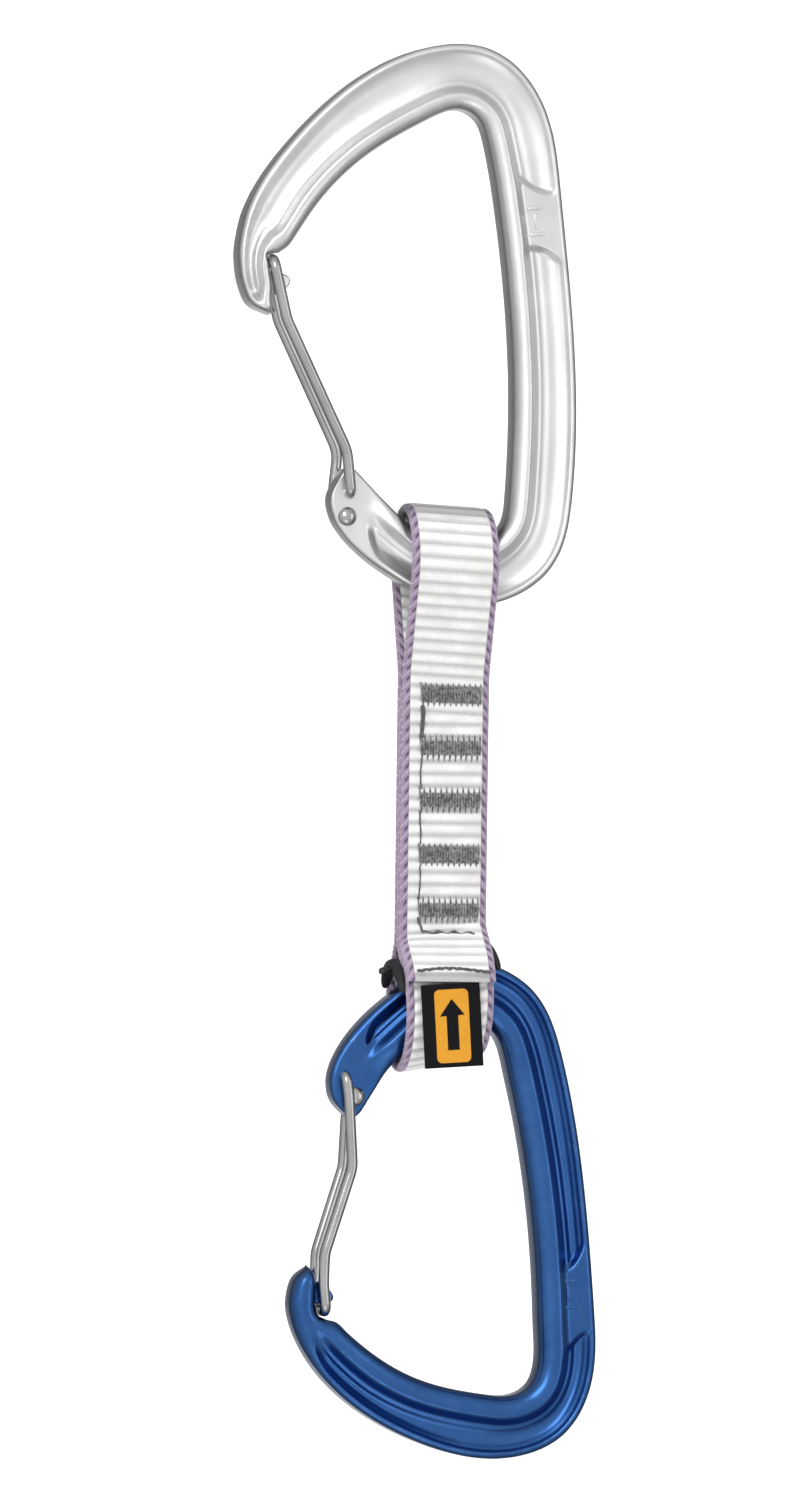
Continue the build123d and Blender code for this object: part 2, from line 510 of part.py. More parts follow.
# ------------------------------------------------------------------- label
LABEL_W, LABEL_H, LABEL_T = 10.8, 15.2, 0.8
LABEL_C = (-2.9, -11.35, -152.6)        # middle of its top edge
lab = Pos(0, 0, -LABEL_H / 2) * Box(LABEL_W, LABEL_T, LABEL_H)
lab = fillet(lab.edges().filter_by(Axis.X).group_by(Axis.Z)[0], 0.35)
label = Pos(*LABEL_C) * Rot(0, -3.0, 0) * lab

# ------------------------------------------------------------------ output
nodes = {
    "upper_carabiner_frame": upper,
    "upper_gate_wire": u_gate,
    "upper_gate_spring_leg": u_tail,
    "lower_carabiner_frame": lower,
    "lower_gate_wire": l_gate,
    "lower_gate_spring_leg": l_tail,
    "sling_webbing": to_part * sling,
    "lockstitch_thread": to_part * Compound(children=[r.solid() for r in runs]),
    "hem_stitches": Compound(children=[s.solid() for s in stitches]),
    "rubber_keeper": keeper,
    "direction_label": label,
}
for k, t in enumerate(tacks):
    nodes["bartack_%d" % (k + 1)] = to_part * t
for name, shape in nodes.items():
    export_step(shape, "parts/%s.step" % name)
    bb = shape.bounding_box()
    print("%-24s solids %d valid %s volume %9.1f  x %.1f..%.1f y %.1f..%.1f z %.1f..%.1f" % (
        name, len(shape.solids()), shape.is_valid, shape.volume,
        bb.min.X, bb.max.X, bb.min.Y, bb.max.Y, bb.min.Z, bb.max.Z))
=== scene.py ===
import math
import bpy
import bmesh
import numpy as np
from mathutils import Vector, Matrix


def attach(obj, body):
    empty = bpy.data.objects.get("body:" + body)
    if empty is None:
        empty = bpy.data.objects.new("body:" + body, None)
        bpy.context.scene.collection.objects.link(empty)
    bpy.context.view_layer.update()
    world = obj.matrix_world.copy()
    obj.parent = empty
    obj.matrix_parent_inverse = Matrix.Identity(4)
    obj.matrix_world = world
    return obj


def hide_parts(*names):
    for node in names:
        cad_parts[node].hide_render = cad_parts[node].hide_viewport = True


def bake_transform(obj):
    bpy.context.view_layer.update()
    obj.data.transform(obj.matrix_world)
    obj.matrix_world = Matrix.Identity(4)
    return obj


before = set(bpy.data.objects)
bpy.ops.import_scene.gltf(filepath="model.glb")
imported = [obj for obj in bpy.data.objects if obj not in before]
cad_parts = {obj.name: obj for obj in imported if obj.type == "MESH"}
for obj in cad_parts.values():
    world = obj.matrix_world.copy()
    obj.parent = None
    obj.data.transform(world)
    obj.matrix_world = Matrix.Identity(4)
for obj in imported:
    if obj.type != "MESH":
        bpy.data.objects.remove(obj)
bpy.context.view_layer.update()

MM = 0.001

# ------------------------------------------------------------ outline tables
# Stations along each bar in millimetres, from the nose to the gate lobe.
UPPER_OUTER = [
    (-34.22, -31.46), (-37.79, -29.52), (-39.42, -25.97), (-40.03, -22.36), (-40.02, -18.83), (-38.96, -13.61),
    (-37.42, -9.88), (-35.95, -7.25), (-34.61, -5.22), (-32.85, -2.86), (-30.75, -0.33), (-28.44, 2.25),
    (-25.99, 4.77), (-23.34, 7.24), (-20.47, 9.62), (-17.41, 11.81), (-14.23, 13.72), (-10.89, 15.36),
    (-7.28, 16.69), (-3.41, 17.62), (0.96, 18.01), (5.78, 17.34), (10.24, 15.02), (13.72, 11.53),
    (16.33, 7.18), (17.88, 2.82), (18.64, -0.66), (19.08, -3.62), (19.41, -6.49), (19.73, -9.66),
    (20.07, -13.00), (20.42, -16.42), (20.77, -19.88), (21.10, -23.34), (21.41, -26.75), (21.68, -30.08),
    (21.93, -33.33), (22.13, -36.53), (22.29, -39.72), (22.41, -42.92), (22.49, -46.14), (22.51, -49.38),
    (22.47, -52.62), (22.37, -55.80), (22.20, -58.88), (21.96, -62.20), (21.55, -66.11), (20.81, -70.43),
    (19.39, -74.59), (16.99, -78.22), (13.66, -80.99), (9.90, -82.86), (5.92, -83.90), (1.90, -84.04),
    (-1.97, -83.36), (-5.61, -82.08), (-9.00, -80.44), (-12.28, -78.52), (-15.45, -76.35), (-18.03, -74.19),
    (-20.35, -71.77), (-22.48, -68.46), (-23.16, -64.29), (-20.96, -60.07),
]
UPPER_INNER = [
    (-34.07, -30.68), (-34.10, -28.40), (-34.01, -25.86), (-34.30, -23.09), (-33.85, -20.57), (-32.70, -20.17),
    (-30.82, -18.87), (-28.83, -16.02), (-26.55, -12.67), (-24.42, -9.94), (-22.28, -7.58), (-20.10, -5.48),
    (-17.86, -3.57), (-15.58, -1.88), (-13.30, -0.38), (-10.97, 1.00), (-8.56, 2.33), (-6.14, 3.60),
    (-3.78, 4.78), (-1.45, 5.69), (0.48, 5.99), (2.03, 5.75), (3.33, 5.12), (4.48, 4.10),
    (5.26, 2.81), (5.82, 1.13), (6.42, -1.40), (7.10, -4.86), (7.70, -8.52), (8.17, -11.77),
    (8.59, -14.84), (8.97, -17.84), (9.31, -20.81), (9.63, -23.79), (9.91, -26.81), (10.17, -29.92),
    (10.39, -33.11), (10.58, -36.36), (10.72, -39.63), (10.81, -42.89), (10.84, -46.12), (10.83, -49.34),
    (10.76, -52.57), (10.64, -55.86), (10.47, -59.28), (10.27, -62.36), (10.08, -64.79), (9.85, -66.90),
    (9.22, -68.88), (7.98, -70.56), (6.34, -71.89), (4.33, -72.90), (2.06, -73.48), (-0.36, -73.55),
    (-2.83, -73.03), (-5.18, -71.93), (-7.38, -70.38), (-9.39, -68.64), (-11.30, -66.84), (-13.51, -64.68),
    (-15.67, -62.47), (-17.40, -60.62), (-19.02, -59.20), (-20.57, -59.25),
]
LOWER_OUTER = [
    (-27.2, -203.8), (-29.64, -206.10), (-30.67, -209.69), (-30.51, -212.87), (-29.32, -216.64), (-27.48, -220.13),
    (-25.44, -223.05), (-23.32, -225.47), (-21.06, -227.63), (-18.48, -229.71), (-15.56, -231.69), (-12.43, -233.49),
    (-9.18, -235.07), (-5.78, -236.47), (-2.42, -237.62), (0.79, -238.46), (4.06, -238.99), (7.70, -239.16),
    (11.85, -238.72), (16.07, -237.43), (19.83, -235.16), (22.74, -231.80), (24.63, -227.89), (25.68, -223.85),
    (26.07, -220.04), (26.08, -216.46), (25.91, -213.19), (25.71, -210.14), (25.49, -207.06), (25.26, -203.89),
    (25.01, -200.71), (24.74, -197.53), (24.45, -194.36), (24.13, -191.21), (23.78, -188.08), (23.39, -184.94),
    (22.95, -181.78), (22.46, -178.61), (21.90, -175.41), (21.28, -172.19), (20.58, -168.94), (19.70, -165.33),
    (18.56, -161.40), (16.97, -157.63), (14.66, -154.26), (11.64, -151.67), (7.90, -149.74), (3.49, -148.66),
    (-0.84, -148.87), (-4.42, -150.20), (-7.57, -151.95), (-10.54, -153.89), (-13.36, -155.98), (-16.35, -158.60),
    (-19.07, -161.57), (-21.03, -164.35), (-22.63, -167.64), (-23.19, -170.88), (-22.35, -174.16), (-19.30, -177.39),
]
LOWER_INNER = [
    (-25.97, -205.23), (-25.77, -206.98), (-25.82, -209.39), (-25.61, -212.45), (-23.93, -213.50), (-21.85, -214.15),
    (-19.93, -215.98), (-17.65, -217.96), (-15.18, -219.87), (-12.76, -221.50), (-10.41, -222.86), (-8.04, -224.00),
    (-5.60, -224.95), (-3.14, -225.71), (-0.54, -226.35), (2.36, -226.92), (5.27, -227.39), (7.76, -227.71),
    (9.80, -227.70), (11.61, -227.28), (13.22, -226.43), (14.41, -225.12), (15.13, -223.37), (15.49, -221.35),
    (15.58, -218.96), (15.46, -216.29), (15.34, -213.35), (15.25, -210.17), (15.12, -207.01), (14.96, -203.94),
    (14.75, -200.91), (14.50, -197.87), (14.20, -194.83), (13.85, -191.77), (13.46, -188.71), (13.02, -185.66),
    (12.54, -182.66), (12.02, -179.67), (11.46, -176.73), (10.85, -173.83), (10.21, -170.97), (9.67, -168.54),
    (9.20, -166.43), (8.63, -164.37), (7.67, -162.46), (6.12, -160.83), (4.40, -159.79), (2.78, -159.23),
    (0.93, -159.00), (-1.41, -159.30), (-3.83, -160.39), (-5.90, -162.12), (-7.76, -164.12), (-9.37, -165.69),
    (-11.17, -166.96), (-13.06, -169.07), (-14.47, -171.24), (-16.04, -173.69), (-17.59, -176.05), (-18.93, -177.15),
]

# ---------------------------------------------------------------- mesh tools


def new_object(name, verts, faces, smooth=True, uvs=None):
    me = bpy.data.meshes.new(name)
    me.from_pydata([tuple(float(c) * MM for c in v) for v in verts], [], faces)
    me.update()
    if smooth:
        me.polygons.foreach_set("use_smooth", [True] * len(me.polygons))
    if uvs is not None:
        layer = me.uv_layers.new(name="UVMap")
        idx = np.empty(len(me.loops), dtype=np.int32)
        me.loops.foreach_get("vertex_index", idx)
        layer.data.foreach_set("uv", np.asarray(uvs, dtype=np.float32)[idx].ravel())
    ob = bpy.data.objects.new(name, me)
    bpy.context.scene.collection.objects.link(ob)
    return ob


def face_out(ob):
    bm = bmesh.new()
    bm.from_mesh(ob.data)
    bmesh.ops.recalc_face_normals(bm, faces=bm.faces)
    bm.to_mesh(ob.data)
    bm.free()
    return ob


def join(name, parts):
    """One object from (verts, faces) lists."""
    V, F = [], []
    for v, f in parts:
        k = len(V)
        V += [tuple(p) for p in v]
        F += [tuple(i + k for i in q) for q in f]
    return face_out(new_object(name, V, F))


def smooth01(x):
    x = np.clip(x, 0, 1)
    return x * x * (3 - 2 * x)


def rounded_path(points, radii, step=0.6, arc_n=10):
    """Straight runs joined by tangent arcs, as a list of 3-D points."""
    P = [np.array(p, float) for p in points]
    out = [P[0]]
    for i in range(1, len(P) - 1):
        a, b = P[i - 1] - P[i], P[i + 1] - P[i]
        la, lb = np.linalg.norm(a), np.linalg.norm(b)
        a, b = a / la, b / lb
        turn = math.pi - math.acos(np.clip(a @ b, -1, 1))
        if turn < 1e-4:
            out.append(P[i])
            continue
        d = min(radii[i - 1] * math.tan(turn / 2), 0.49 * la, 0.49 * lb)
        r = d / math.tan(turn / 2)
        bis = (a + b) / np.linalg.norm(a + b)
        c = P[i] + bis * (r / math.cos(turn / 2))
        u = (P[i] + a * d - c) / r
        v = (P[i] + b * d - c) / r
        for k in range(arc_n + 1):
            t = turn * k / arc_n
            w = (v - u * math.cos(turn)) / math.sin(turn)
            out.append(c + r * (u * math.cos(t) + w * math.sin(t)))
    out.append(P[-1])
    dense = [out[0]]
    for q in out[1:]:
        n = max(1, int(np.linalg.norm(q - dense[-1]) / step))
        s = dense[-1]
        for k in range(1, n + 1):
            dense.append(s + (q - s) * k / n)
    keep = [dense[0]]
    for q in dense[1:]:
        if np.linalg.norm(q - keep[-1]) > 1e-4:
            keep.append(q)
    return keep


def tube(path, r, n=20, cap=True, squash_y=None, end_round=True):
    """(verts, faces) of a tube along a path; r is a number or one per point."""
    P = np.array(path, float)
    m = len(P)
    R = np.full(m, r, float) if np.isscalar(r) else np.array(r, float)
    T = np.gradient(P, axis=0)
    T /= np.linalg.norm(T, axis=1)[:, None]
    ref = np.array([0, 0, 1.0]) if abs(T[0][2]) < 0.9 else np.array([1.0, 0, 0])
    N = np.cross(T[0], ref)
    N /= np.linalg.norm(N)
    V, F = [], []
    for i in range(m):
        if i:
            N = N - T[i] * (N @ T[i])
            N /= np.linalg.norm(N)
        B = np.cross(T[i], N)
        for k in range(n):
            a = 2 * math.pi * k / n
            V.append(P[i] + R[i] * (N * math.cos(a) + B * math.sin(a)))
    for i in range(m - 1):
        for k in range(n):
            F.append((i * n + k, i * n + (k + 1) % n, (i + 1) * n + (k + 1) % n, (i + 1) * n + k))
    if cap:
        V.append(P[0] - T[0] * R[0] * (0.4 if end_round else 0))
        V.append(P[-1] + T[-1] * R[-1] * (0.4 if end_round else 0))
        a, b = len(V) - 2, len(V) - 1
        for k in range(n):
            F.append((a, (k + 1) % n, k))
            F.append((b, (m - 1) * n + k, (m - 1) * n + (k + 1) % n))
    return V, F


def dome(x, z, side, base=3.0, r=1.75, h=1.15, n=40, rings=12):
    """Peened head: a low dome on a lobe's face."""
    V, F = [], []
    V.append((x, side * (base + h), z))
    for i in range(1, rings + 1):
        t = i / rings
        rr = r * math.sin(t * math.pi / 2)
        y = base + h * math.cos(t * math.pi / 2) ** 1.15 if i < rings else base
        for k in range(n):
            a = 2 * math.pi * k / n
            V.append((x + rr * math.cos(a), side * y, z + rr * math.sin(a)))
    for k in range(n):
        V.append((x + r * math.cos(2 * math.pi * k / n), side * (base - 0.25), z + r * math.sin(2 * math.pi * k / n)))
    V.append((x, side * (base - 0.25), z))
    last = len(V) - 1
    for k in range(n):
        F.append((0, 1 + k, 1 + (k + 1) % n))
        for i in range(rings):
            a = 1 + i * n
            F.append((a + k, a + n + k, a + n + (k + 1) % n, a + (k + 1) % n))
        a = 1 + rings * n
        F.append((a + k, last, a + (k + 1) % n))
    return V, F


def prism(poly, y0, y1, bevel=0.5, segments=3):
    """Rounded slab of an (x, z) outline between two y planes."""
    bm = bmesh.new()
    vs = [bm.verts.new((p[0], y0, p[1])) for p in poly]
    f = bm.faces.new(vs)
    e = bmesh.ops.extrude_face_region(bm, geom=[f])
    bmesh.ops.translate(bm, vec=(0, y1 - y0, 0), verts=[g for g in e["geom"] if isinstance(g, bmesh.types.BMVert)])
    bmesh.ops.recalc_face_normals(bm, faces=bm.faces)
    if bevel:
        bmesh.ops.bevel(bm, geom=list(bm.edges), offset=bevel, segments=segments, affect="EDGES", profile=0.5)
    V = [tuple(v.co) for v in bm.verts]
    bm.verts.index_update()
    F = [tuple(v.index for v in q.verts) for q in bm.faces]
    bm.free()
    return V, F


# ----------------------------------------------------------- forged carabiner
SEAT_R = 6.0
BAR_HALF, RIM_HALF, WEB_HALF = 5.0, 3.7, 1.9
RIM_W, BAND_W = 2.2, 3.9
NOSE_HALF, LOBE_HALF, HOOK_HALF = 4.4, 3.0, 2.2


def spline(tab, per):
    """Catmull-Rom through the table, per points for each gap."""
    P = np.array(tab, float)
    P = np.vstack([2 * P[0] - P[1], P, 2 * P[-1] - P[-2]])
    out = []
    for i in range(1, len(P) - 2):
        for k in range(per):
            t = k / per
            a, b, c, d = P[i - 1], P[i], P[i + 1], P[i + 2]
            out.append(0.5 * ((2 * b) + (c - a) * t + (2 * a - 5 * b + 4 * c - d) * t * t
                              + (3 * b - a - 3 * c + d) * t ** 3))
    out.append(P[-2])
    return np.array(out)


def forged_bar(name, outer, inner, first, last, recesses, legs, hook, flange, tip, per=9):
    O, I = spline(outer, per), spline(inner, per)
    n = len(O)
    idx = np.arange(n) / per
    W = np.linalg.norm(I - O, axis=1)
    M = (O + I) / 2
    L = np.concatenate([[0], np.cumsum(np.linalg.norm(np.diff(M, axis=0), axis=1))])
    at = lambda k: float(np.interp(k, idx, L))
    f = np.clip(W / 10.0, 0.05, 1.0)
    rim, band = 1.75 * f, BAND_W * f
    nose = 1 - smooth01((idx - (first - 3.0)) / 4.0)
    lobe = smooth01((idx - (last - 2.2)) / 3.2)
    bar = np.clip(1 - nose - lobe, 0, 1)
    ho = RIM_HALF * bar + NOSE_HALF * nose + LOBE_HALF * lobe
    hi = BAR_HALF * bar + NOSE_HALF * nose + LOBE_HALF * lobe
    na0, na1, nb0, nb1, tip_r = tip
    a0 = np.minimum(1.25 * bar + na0 * nose + 0.9 * lobe, 0.44 * W)
    a1 = np.minimum(2.7 * bar + na1 * nose + 0.9 * lobe, 0.44 * W)
    b0 = 1.25 * bar + nb0 * nose + 0.9 * lobe
    b1 = 2.9 * bar + nb1 * nose + 0.9 * lobe

    # positions across the bar, dense where the surface turns
    q = np.sin(np.linspace(0, math.pi / 2, 8)) ** 1.0
    sec = []
    A = 1 - np.cos(np.linspace(0, math.pi / 2, 9))
    cols = []
    for i in range(n):
        w = W[i]
        s = list(a0[i] * A)
        lo, hi_s = a0[i], w - a1[i]
        m = 30
        s += list(lo + (hi_s - lo) * np.arange(1, m) / m)
        s += list(w - a1[i] * A[::-1])
        cols.append(s)
    S = np.array(cols)
    w = W[:, None]
    sc = (rim + (W - rim - band) / 2)[:, None]
    hw = ((W - rim - band) / 2)[:, None]
    band_line = (W - band)[:, None]

    fs = f[:, None]
    hoc, hic = ho[:, None], hi[:, None]
    step = w - flange * fs
    # full section, then the same section with its scooped web
    H = hoc + (hic - hoc) * smooth01((S - step) / (2.2 * fs))
    mid, half_w = (2.0 * fs + step) / 2, np.maximum((step - 2.0 * fs) / 2, 0.2)
    cup = np.clip((S - mid) / half_w, -1, 1) ** 2
    base = WEB_HALF + 0.15 + 0.75 * cup
    rise = smooth01((S - step - 0.1 * fs) / (2.1 * fs))
    fall = 1 - smooth01((S - 0.85 * fs) / (1.15 * fs))
    crest = np.clip((S - (w - 0.48 * flange * fs)) / (0.52 * flange * fs), -1, 1)
    crown = 1.0 * crest ** 2 * (S > step) * bar[:, None]
    scoop = base + (hoc - base) * fall + (hic - crown - base) * rise
    H = H - crown * smooth01((S - step) / (2.2 * fs))
    mask = np.zeros_like(H)
    for (k0, k1, sk0, sk1, soft0, soft1) in recesses:
        l0, l1 = at(k0), at(k1)
        dl = np.clip((S - sc) / np.maximum(hw, 0.1), -1.2, 1.2)
        d0 = L[:, None] - (l0 + sk0 * dl + 0.8 * dl ** 2)
        d1 = (l1 + sk1 * dl - 0.8 * dl ** 2) - L[:, None]
        mask = np.maximum(mask, smooth01((d0 + 0.4) / soft0) * smooth01((d1 + 0.4) / soft1))
    H = H * (1 - mask) + np.minimum(H, scoop) * mask

    # rounded edges
    e0 = np.clip(1 - S / np.maximum(a0[:, None], 1e-6), 0, 1)
    e1 = np.clip(1 - (w - S) / np.maximum(a1[:, None], 1e-6), 0, 1)
    cap0 = ho[:, None] - b0[:, None] * (1 - np.sqrt(1 - e0 ** 2))
    cap1 = hi[:, None] - b1[:, None] * (1 - np.sqrt(1 - e1 ** 2))
    H = np.minimum(H, np.where(e0 > 0, cap0, 99))
    H = np.minimum(H, np.where(e1 > 0, cap1, 99))
    # rounded ends
    for d, R in ((L - L[0], tip_r), (L[-1] - L, 0.9)):
        e = np.clip(1 - d / R, 0, 1)
        H = H - (R * (1 - np.sqrt(1 - e ** 2)))[:, None]
    t = S / w
    X = O[:, 0][:, None] * (1 - t) + I[:, 0][:, None] * t
    Z = O[:, 1][:, None] * (1 - t) + I[:, 1][:, None] * t
    # rests for the gate's legs beside the hook
    if legs:
        p, d = np.array(legs[0]), np.array(legs[1]) - np.array(legs[0])
        ln = np.linalg.norm(d)
        d /= ln
        rx, rz = X - p[0], Z - p[1]
        along = rx * d[0] + rz * d[1]
        off = np.abs(rx * d[1] - rz * d[0])
        g = smooth01((1.45 - off) / 0.5) * smooth01((along + 1.6) / 0.5) * smooth01((6.5 - along) / 1.5)
        H = H * (1 - g) + np.minimum(H, 2.35) * g

    cnt = S.shape[1]
    V = np.concatenate([np.stack([X, -H, Z], axis=2).reshape(-1, 3),
                        np.stack([X, H, Z], axis=2).reshape(-1, 3)])
    half = n * cnt
    F = []
    for i in range(n - 1):
        for j in range(cnt - 1):
            a, b = i * cnt + j, (i + 1) * cnt + j
            F.append((a, b, b + 1, a + 1))
            F.append((half + a, half + a + 1, half + b + 1, half + b))
        for j in (0, cnt - 1):
            a, b = i * cnt + j, (i + 1) * cnt + j
            F.append((a, half + a, half + b, b) if j == 0 else (a, b, half + b, half + a))
    for i in (0, n - 1):
        for j in range(cnt - 1):
            a = i * cnt + j
            F.append((a, a + 1, half + a + 1, half + a) if i == 0 else (a, half + a, half + a + 1, a + 1))
    parts = [(V, F), prism(hook, -HOOK_HALF, HOOK_HALF, 0.55, 4)]
    return join(name, parts)


upper = forged_bar("upper_carabiner", UPPER_OUTER, UPPER_INNER, 6, 59,
                   [(0.9, 28.4, 0.3, -2.0, 3.0, 1.5), (31.6, 59.2, -1.2, 1.6, 1.5, 3.4)],
                   ((-33.87, -21.40), (-31.51, -32.31)),
                   [(-36.0, -23.3), (-32.6, -23.6), (-30.7, -24.4), (-30.3, -25.3), (-31.0, -26.5),
                    (-33.0, -27.8), (-36.0, -28.6)], 4.9, (1.7, 1.5, 1.7, 1.5, 2.2))
lower = forged_bar("lower_carabiner", LOWER_OUTER, LOWER_INNER, 6, 55,
                   [(4.4, 24.6, 0.3, -2.4, 6.0, 1.5), (28.8, 54.4, -2.2, 1.6, 1.5, 3.4)],
                   ((-24.26, -212.04), (-24.71, -207.0)),
                   [(-27.5, -206.2), (-24.5, -206.9), (-23.0, -208.3), (-22.3, -209.6), (-22.9, -210.5),
                    (-24.3, -210.7), (-27.5, -210.7)], 5.9, (3.1, 2.9, 2.8, 2.6, 2.8))


def pad_mark(name, x, z, lean, h=5.4, w=2.6):
    """Small generic double-ended gauge mark, raised on the pad."""
    parts = []
    c, s = math.cos(lean), math.sin(lean)

    def bar(x0, z0, x1, z1):
        pts = [(x0, z0), (x1, z0), (x1, z1), (x0, z1)]
        parts.append(prism([(x + a * c - b * s, z + a * s + b * c) for a, b in pts], -RIM_HALF - 0.34, -RIM_HALF + 0.3, 0.12, 2))
    bar(-w / 2, h / 2 - 0.6, w / 2, h / 2)
    bar(-w / 2, -h / 2, w / 2, -h / 2 + 0.6)
    bar(-0.3, -h / 2 + 1.2, 0.3, h / 2 - 1.2)
    return join(name, parts)


upper_mark = pad_mark("upper_pad_mark", 14.7, -14.2, 0.12)
lower_mark = pad_mark("lower_pad_mark", 20.7, -209.2, 0.02)

# -------------------------------------------------------------------- gates
LEG_Y, LEG_Y_TOP, WIRE_R = 4.4, 3.8, 1.0


def gate(name, a, b, bm, bends, u, s):
    v1, v2 = bends[0], bends[1]
    y1, y2, y3 = LEG_Y - 0.1, LEG_Y - 0.35, LEG_Y_TOP
    split = ((v1[0] + v2[0]) / 2, (v1[1] + v2[1]) / 2)
    ys = (y1 + y2) / 2
    pts = [(a[0], -s * (LOBE_HALF - 0.4), a[1]), (a[0], s * LEG_Y, a[1]), (v1[0], s * y1, v1[1]), (v2[0], s * y2, v2[1])]
    rad = [1.3, 9.0, 9.0]
    for e in bends[2:]:
        pts.append((e[0], s * y3, e[1]))
        rad.append(8.0)
    pts += [(u[0], s * y3, u[1]), (u[0], -s * y3, u[1])]
    rad += [1.6, 1.6]
    for e in reversed(bends[2:]):
        pts.append((e[0], -s * y3, e[1]))
        rad.append(8.0)
    pts += [(v2[0], -s * y2, v2[1]), (split[0], -s * ys, split[1])]
    rad += [9.0]
    main = join(name + "_wire", [tube(rounded_path(pts, rad, 0.5, 14), WIRE_R, 24, cap=False), dome(a[0], a[1], -s)])
    # the second leg overlaps the loop's end by a hair, so no joint shows
    d = np.array(split) - np.array(v1)
    d /= np.linalg.norm(d)
    ex = (split[0] + 0.5 * d[0], split[1] + 0.5 * d[1])
    tail = join(name + "_spring_leg", [
        tube(rounded_path([(ex[0], -s * ys, ex[1]), (v1[0], -s * y1, v1[1]), (bm[0], -s * LEG_Y, bm[1]),
                           (b[0], -s * LEG_Y, b[1]), (b[0], s * (LOBE_HALF - 0.4), b[1])], [7.0, 7.0, 1.3], 0.5, 14),
             WIRE_R * 0.998, 24, cap=False), dome(b[0], b[1], s)])
    return main, tail


ug, ugl = gate("upper_gate", (-19.73, -63.77), (-20.15, -67.95), (-21.33, -63.95),
               [(-20.45, -56.13), (-31.51, -32.31)], (-33.87, -21.40), -1)
lg, lgl = gate("lower_gate", (-18.63, -173.15), (-20.60, -169.33), (-20.10, -173.10),
               [(-19.45, -186.0), (-24.55, -201.6), (-24.71, -207.0)], (-24.26, -212.04), 1)

# -------------------------------------------------------------------- sling
WEB_T, WEB_W, PLY = 2.05, 16.0, 2.10
LEAN = math.radians(0.78)
KU, KL = math.tan(math.radians(-3.12)), math.tan(math.radians(11.28))
LOOP_DIST = 80.76
UCX, UCZ = -1.40, -76.20
CL = -LOOP_DIST
Z_THU, Z_THL = -21.8, CL + 14.7
R_U, R_L = 8.35 + WEB_T / 2, 8.6 + WEB_T / 2
RHO_U, RHO_L, M_TOP = 8.0, 5.0, -23.2
HEM_Z = -76.06
LCX = UCX - LOOP_DIST * math.sin(LEAN)
LCZ = UCZ - LOOP_DIST * math.cos(LEAN)
PITCH = 2.24


def to_part(x, y, z):
    return (UCX + x * math.cos(LEAN) + z * math.sin(LEAN), y, UCZ - x * math.sin(LEAN) + z * math.cos(LEAN))


def leg(ys, s, up, rho, zth, c, r):
    dz = abs(c - zth)
    ky = -ys * s
    px = rho - ky
    d = math.hypot(px, dz)
    al = math.atan2(dz, px) - math.acos((r + rho) / d)

    def m(y, z):
        return (y if s < 0 else -y, zth + (z if up > 0 else -z))
    t = ky - rho
    arc = [m(t + rho * math.cos(al * k / 12), rho * math.sin(al * k / 12)) for k in range(13)]
    end = m(-r * math.cos(al), dz - r * math.sin(al))
    return arc + [end], math.degrees(al)


def ring(c, r, a0, a1, n=60):
    return [(r * math.cos(math.radians(a0 + (a1 - a0) * k / n)), c + r * math.sin(math.radians(a0 + (a1 - a0) * k / n)))
            for k in range(n + 1)]


fu, afu = leg(-PLY, -1, 1, RHO_U, Z_THU, 0.0, R_U)
bu, abu = leg(PLY, 1, 1, RHO_U, Z_THU, 0.0, R_U)
fl, afl = leg(-PLY, -1, -1, RHO_L - PLY, Z_THL, CL, R_L + PLY)
ml, aml = leg(0.0, -1, -1, RHO_L, Z_THL, CL, R_L)
bl, abl = leg(PLY, 1, -1, RHO_L - 1.0, Z_THL, CL, R_L)
path = list(reversed(fl + ring(CL, R_L + PLY, 180 - afl, 196, 14)))
path += [(-PLY, Z_THU)] + fu + ring(0.0, R_U, 180 + afu, -abu) + list(reversed(bu))
path += [(PLY, Z_THL)] + bl + ring(CL, R_L, abl, -180 - aml) + list(reversed(ml))
path += [(0.0, M_TOP)]
P = [np.array(path[0], float)]
for q in path[1:]:
    q = np.array(q, float)
    if np.linalg.norm(q - P[-1]) > 1e-3:
        P.append(q)
P = np.array(P)
CUM = np.concatenate([[0], np.cumsum(np.linalg.norm(np.diff(P, axis=0), axis=1))])
STEP = PITCH / 10
LEN = CUM[-1]
rows = int(LEN / STEP)
SS = np.linspace(0, LEN, rows + 1)
YY, ZZ = np.interp(SS, CUM, P[:, 0]), np.interp(SS, CUM, P[:, 1])
# light smoothing takes the corners out of the sampled line
for _ in range(6):
    YY[1:-1] = 0.25 * YY[:-2] + 0.5 * YY[1:-1] + 0.25 * YY[2:]
    ZZ[1:-1] = 0.25 * ZZ[:-2] + 0.5 * ZZ[1:-1] + 0.25 * ZZ[2:]
TY, TZ = np.gradient(YY), np.gradient(ZZ)
TN = np.hypot(TY, TZ)
TY, TZ = TY / TN, TZ / TN
NY, NZ = -TZ, TY            # left of the direction of travel

# across the width: (x, half thickness, 1 on the ribbed field)
half = []
for k in range(9):
    a = math.pi / 2 * k / 8
    half.append((-8.0 + 1.0 * (1 - math.cos(a)), 0.90 * math.sin(a), 0))
half += [(-6.88, 0.93, 0), (-6.76, 0.86, 0), (-6.64, 0.80, 0), (-6.5, 0.92, 0.6), (-6.3, 1.0, 1)]
half += [(x, 1.01, 1) for x in np.linspace(-5.9, 0, 14)]
sec = half + [(-x, t, g) for x, t, g in reversed(half[:-1])]
sx = np.array([s[0] for s in sec])
st = np.array([s[1] for s in sec])
sg = np.array([s[2] for s in sec])
ns = len(sec)
V, UV, F = [], [], []
kz = KU * smooth01((ZZ + 36) / 12.0) + KL * smooth01((-ZZ - 57) / 9.0)
kz = np.where(ZZ > Z_THU, KU, np.where(ZZ < Z_THL, KL, kz))
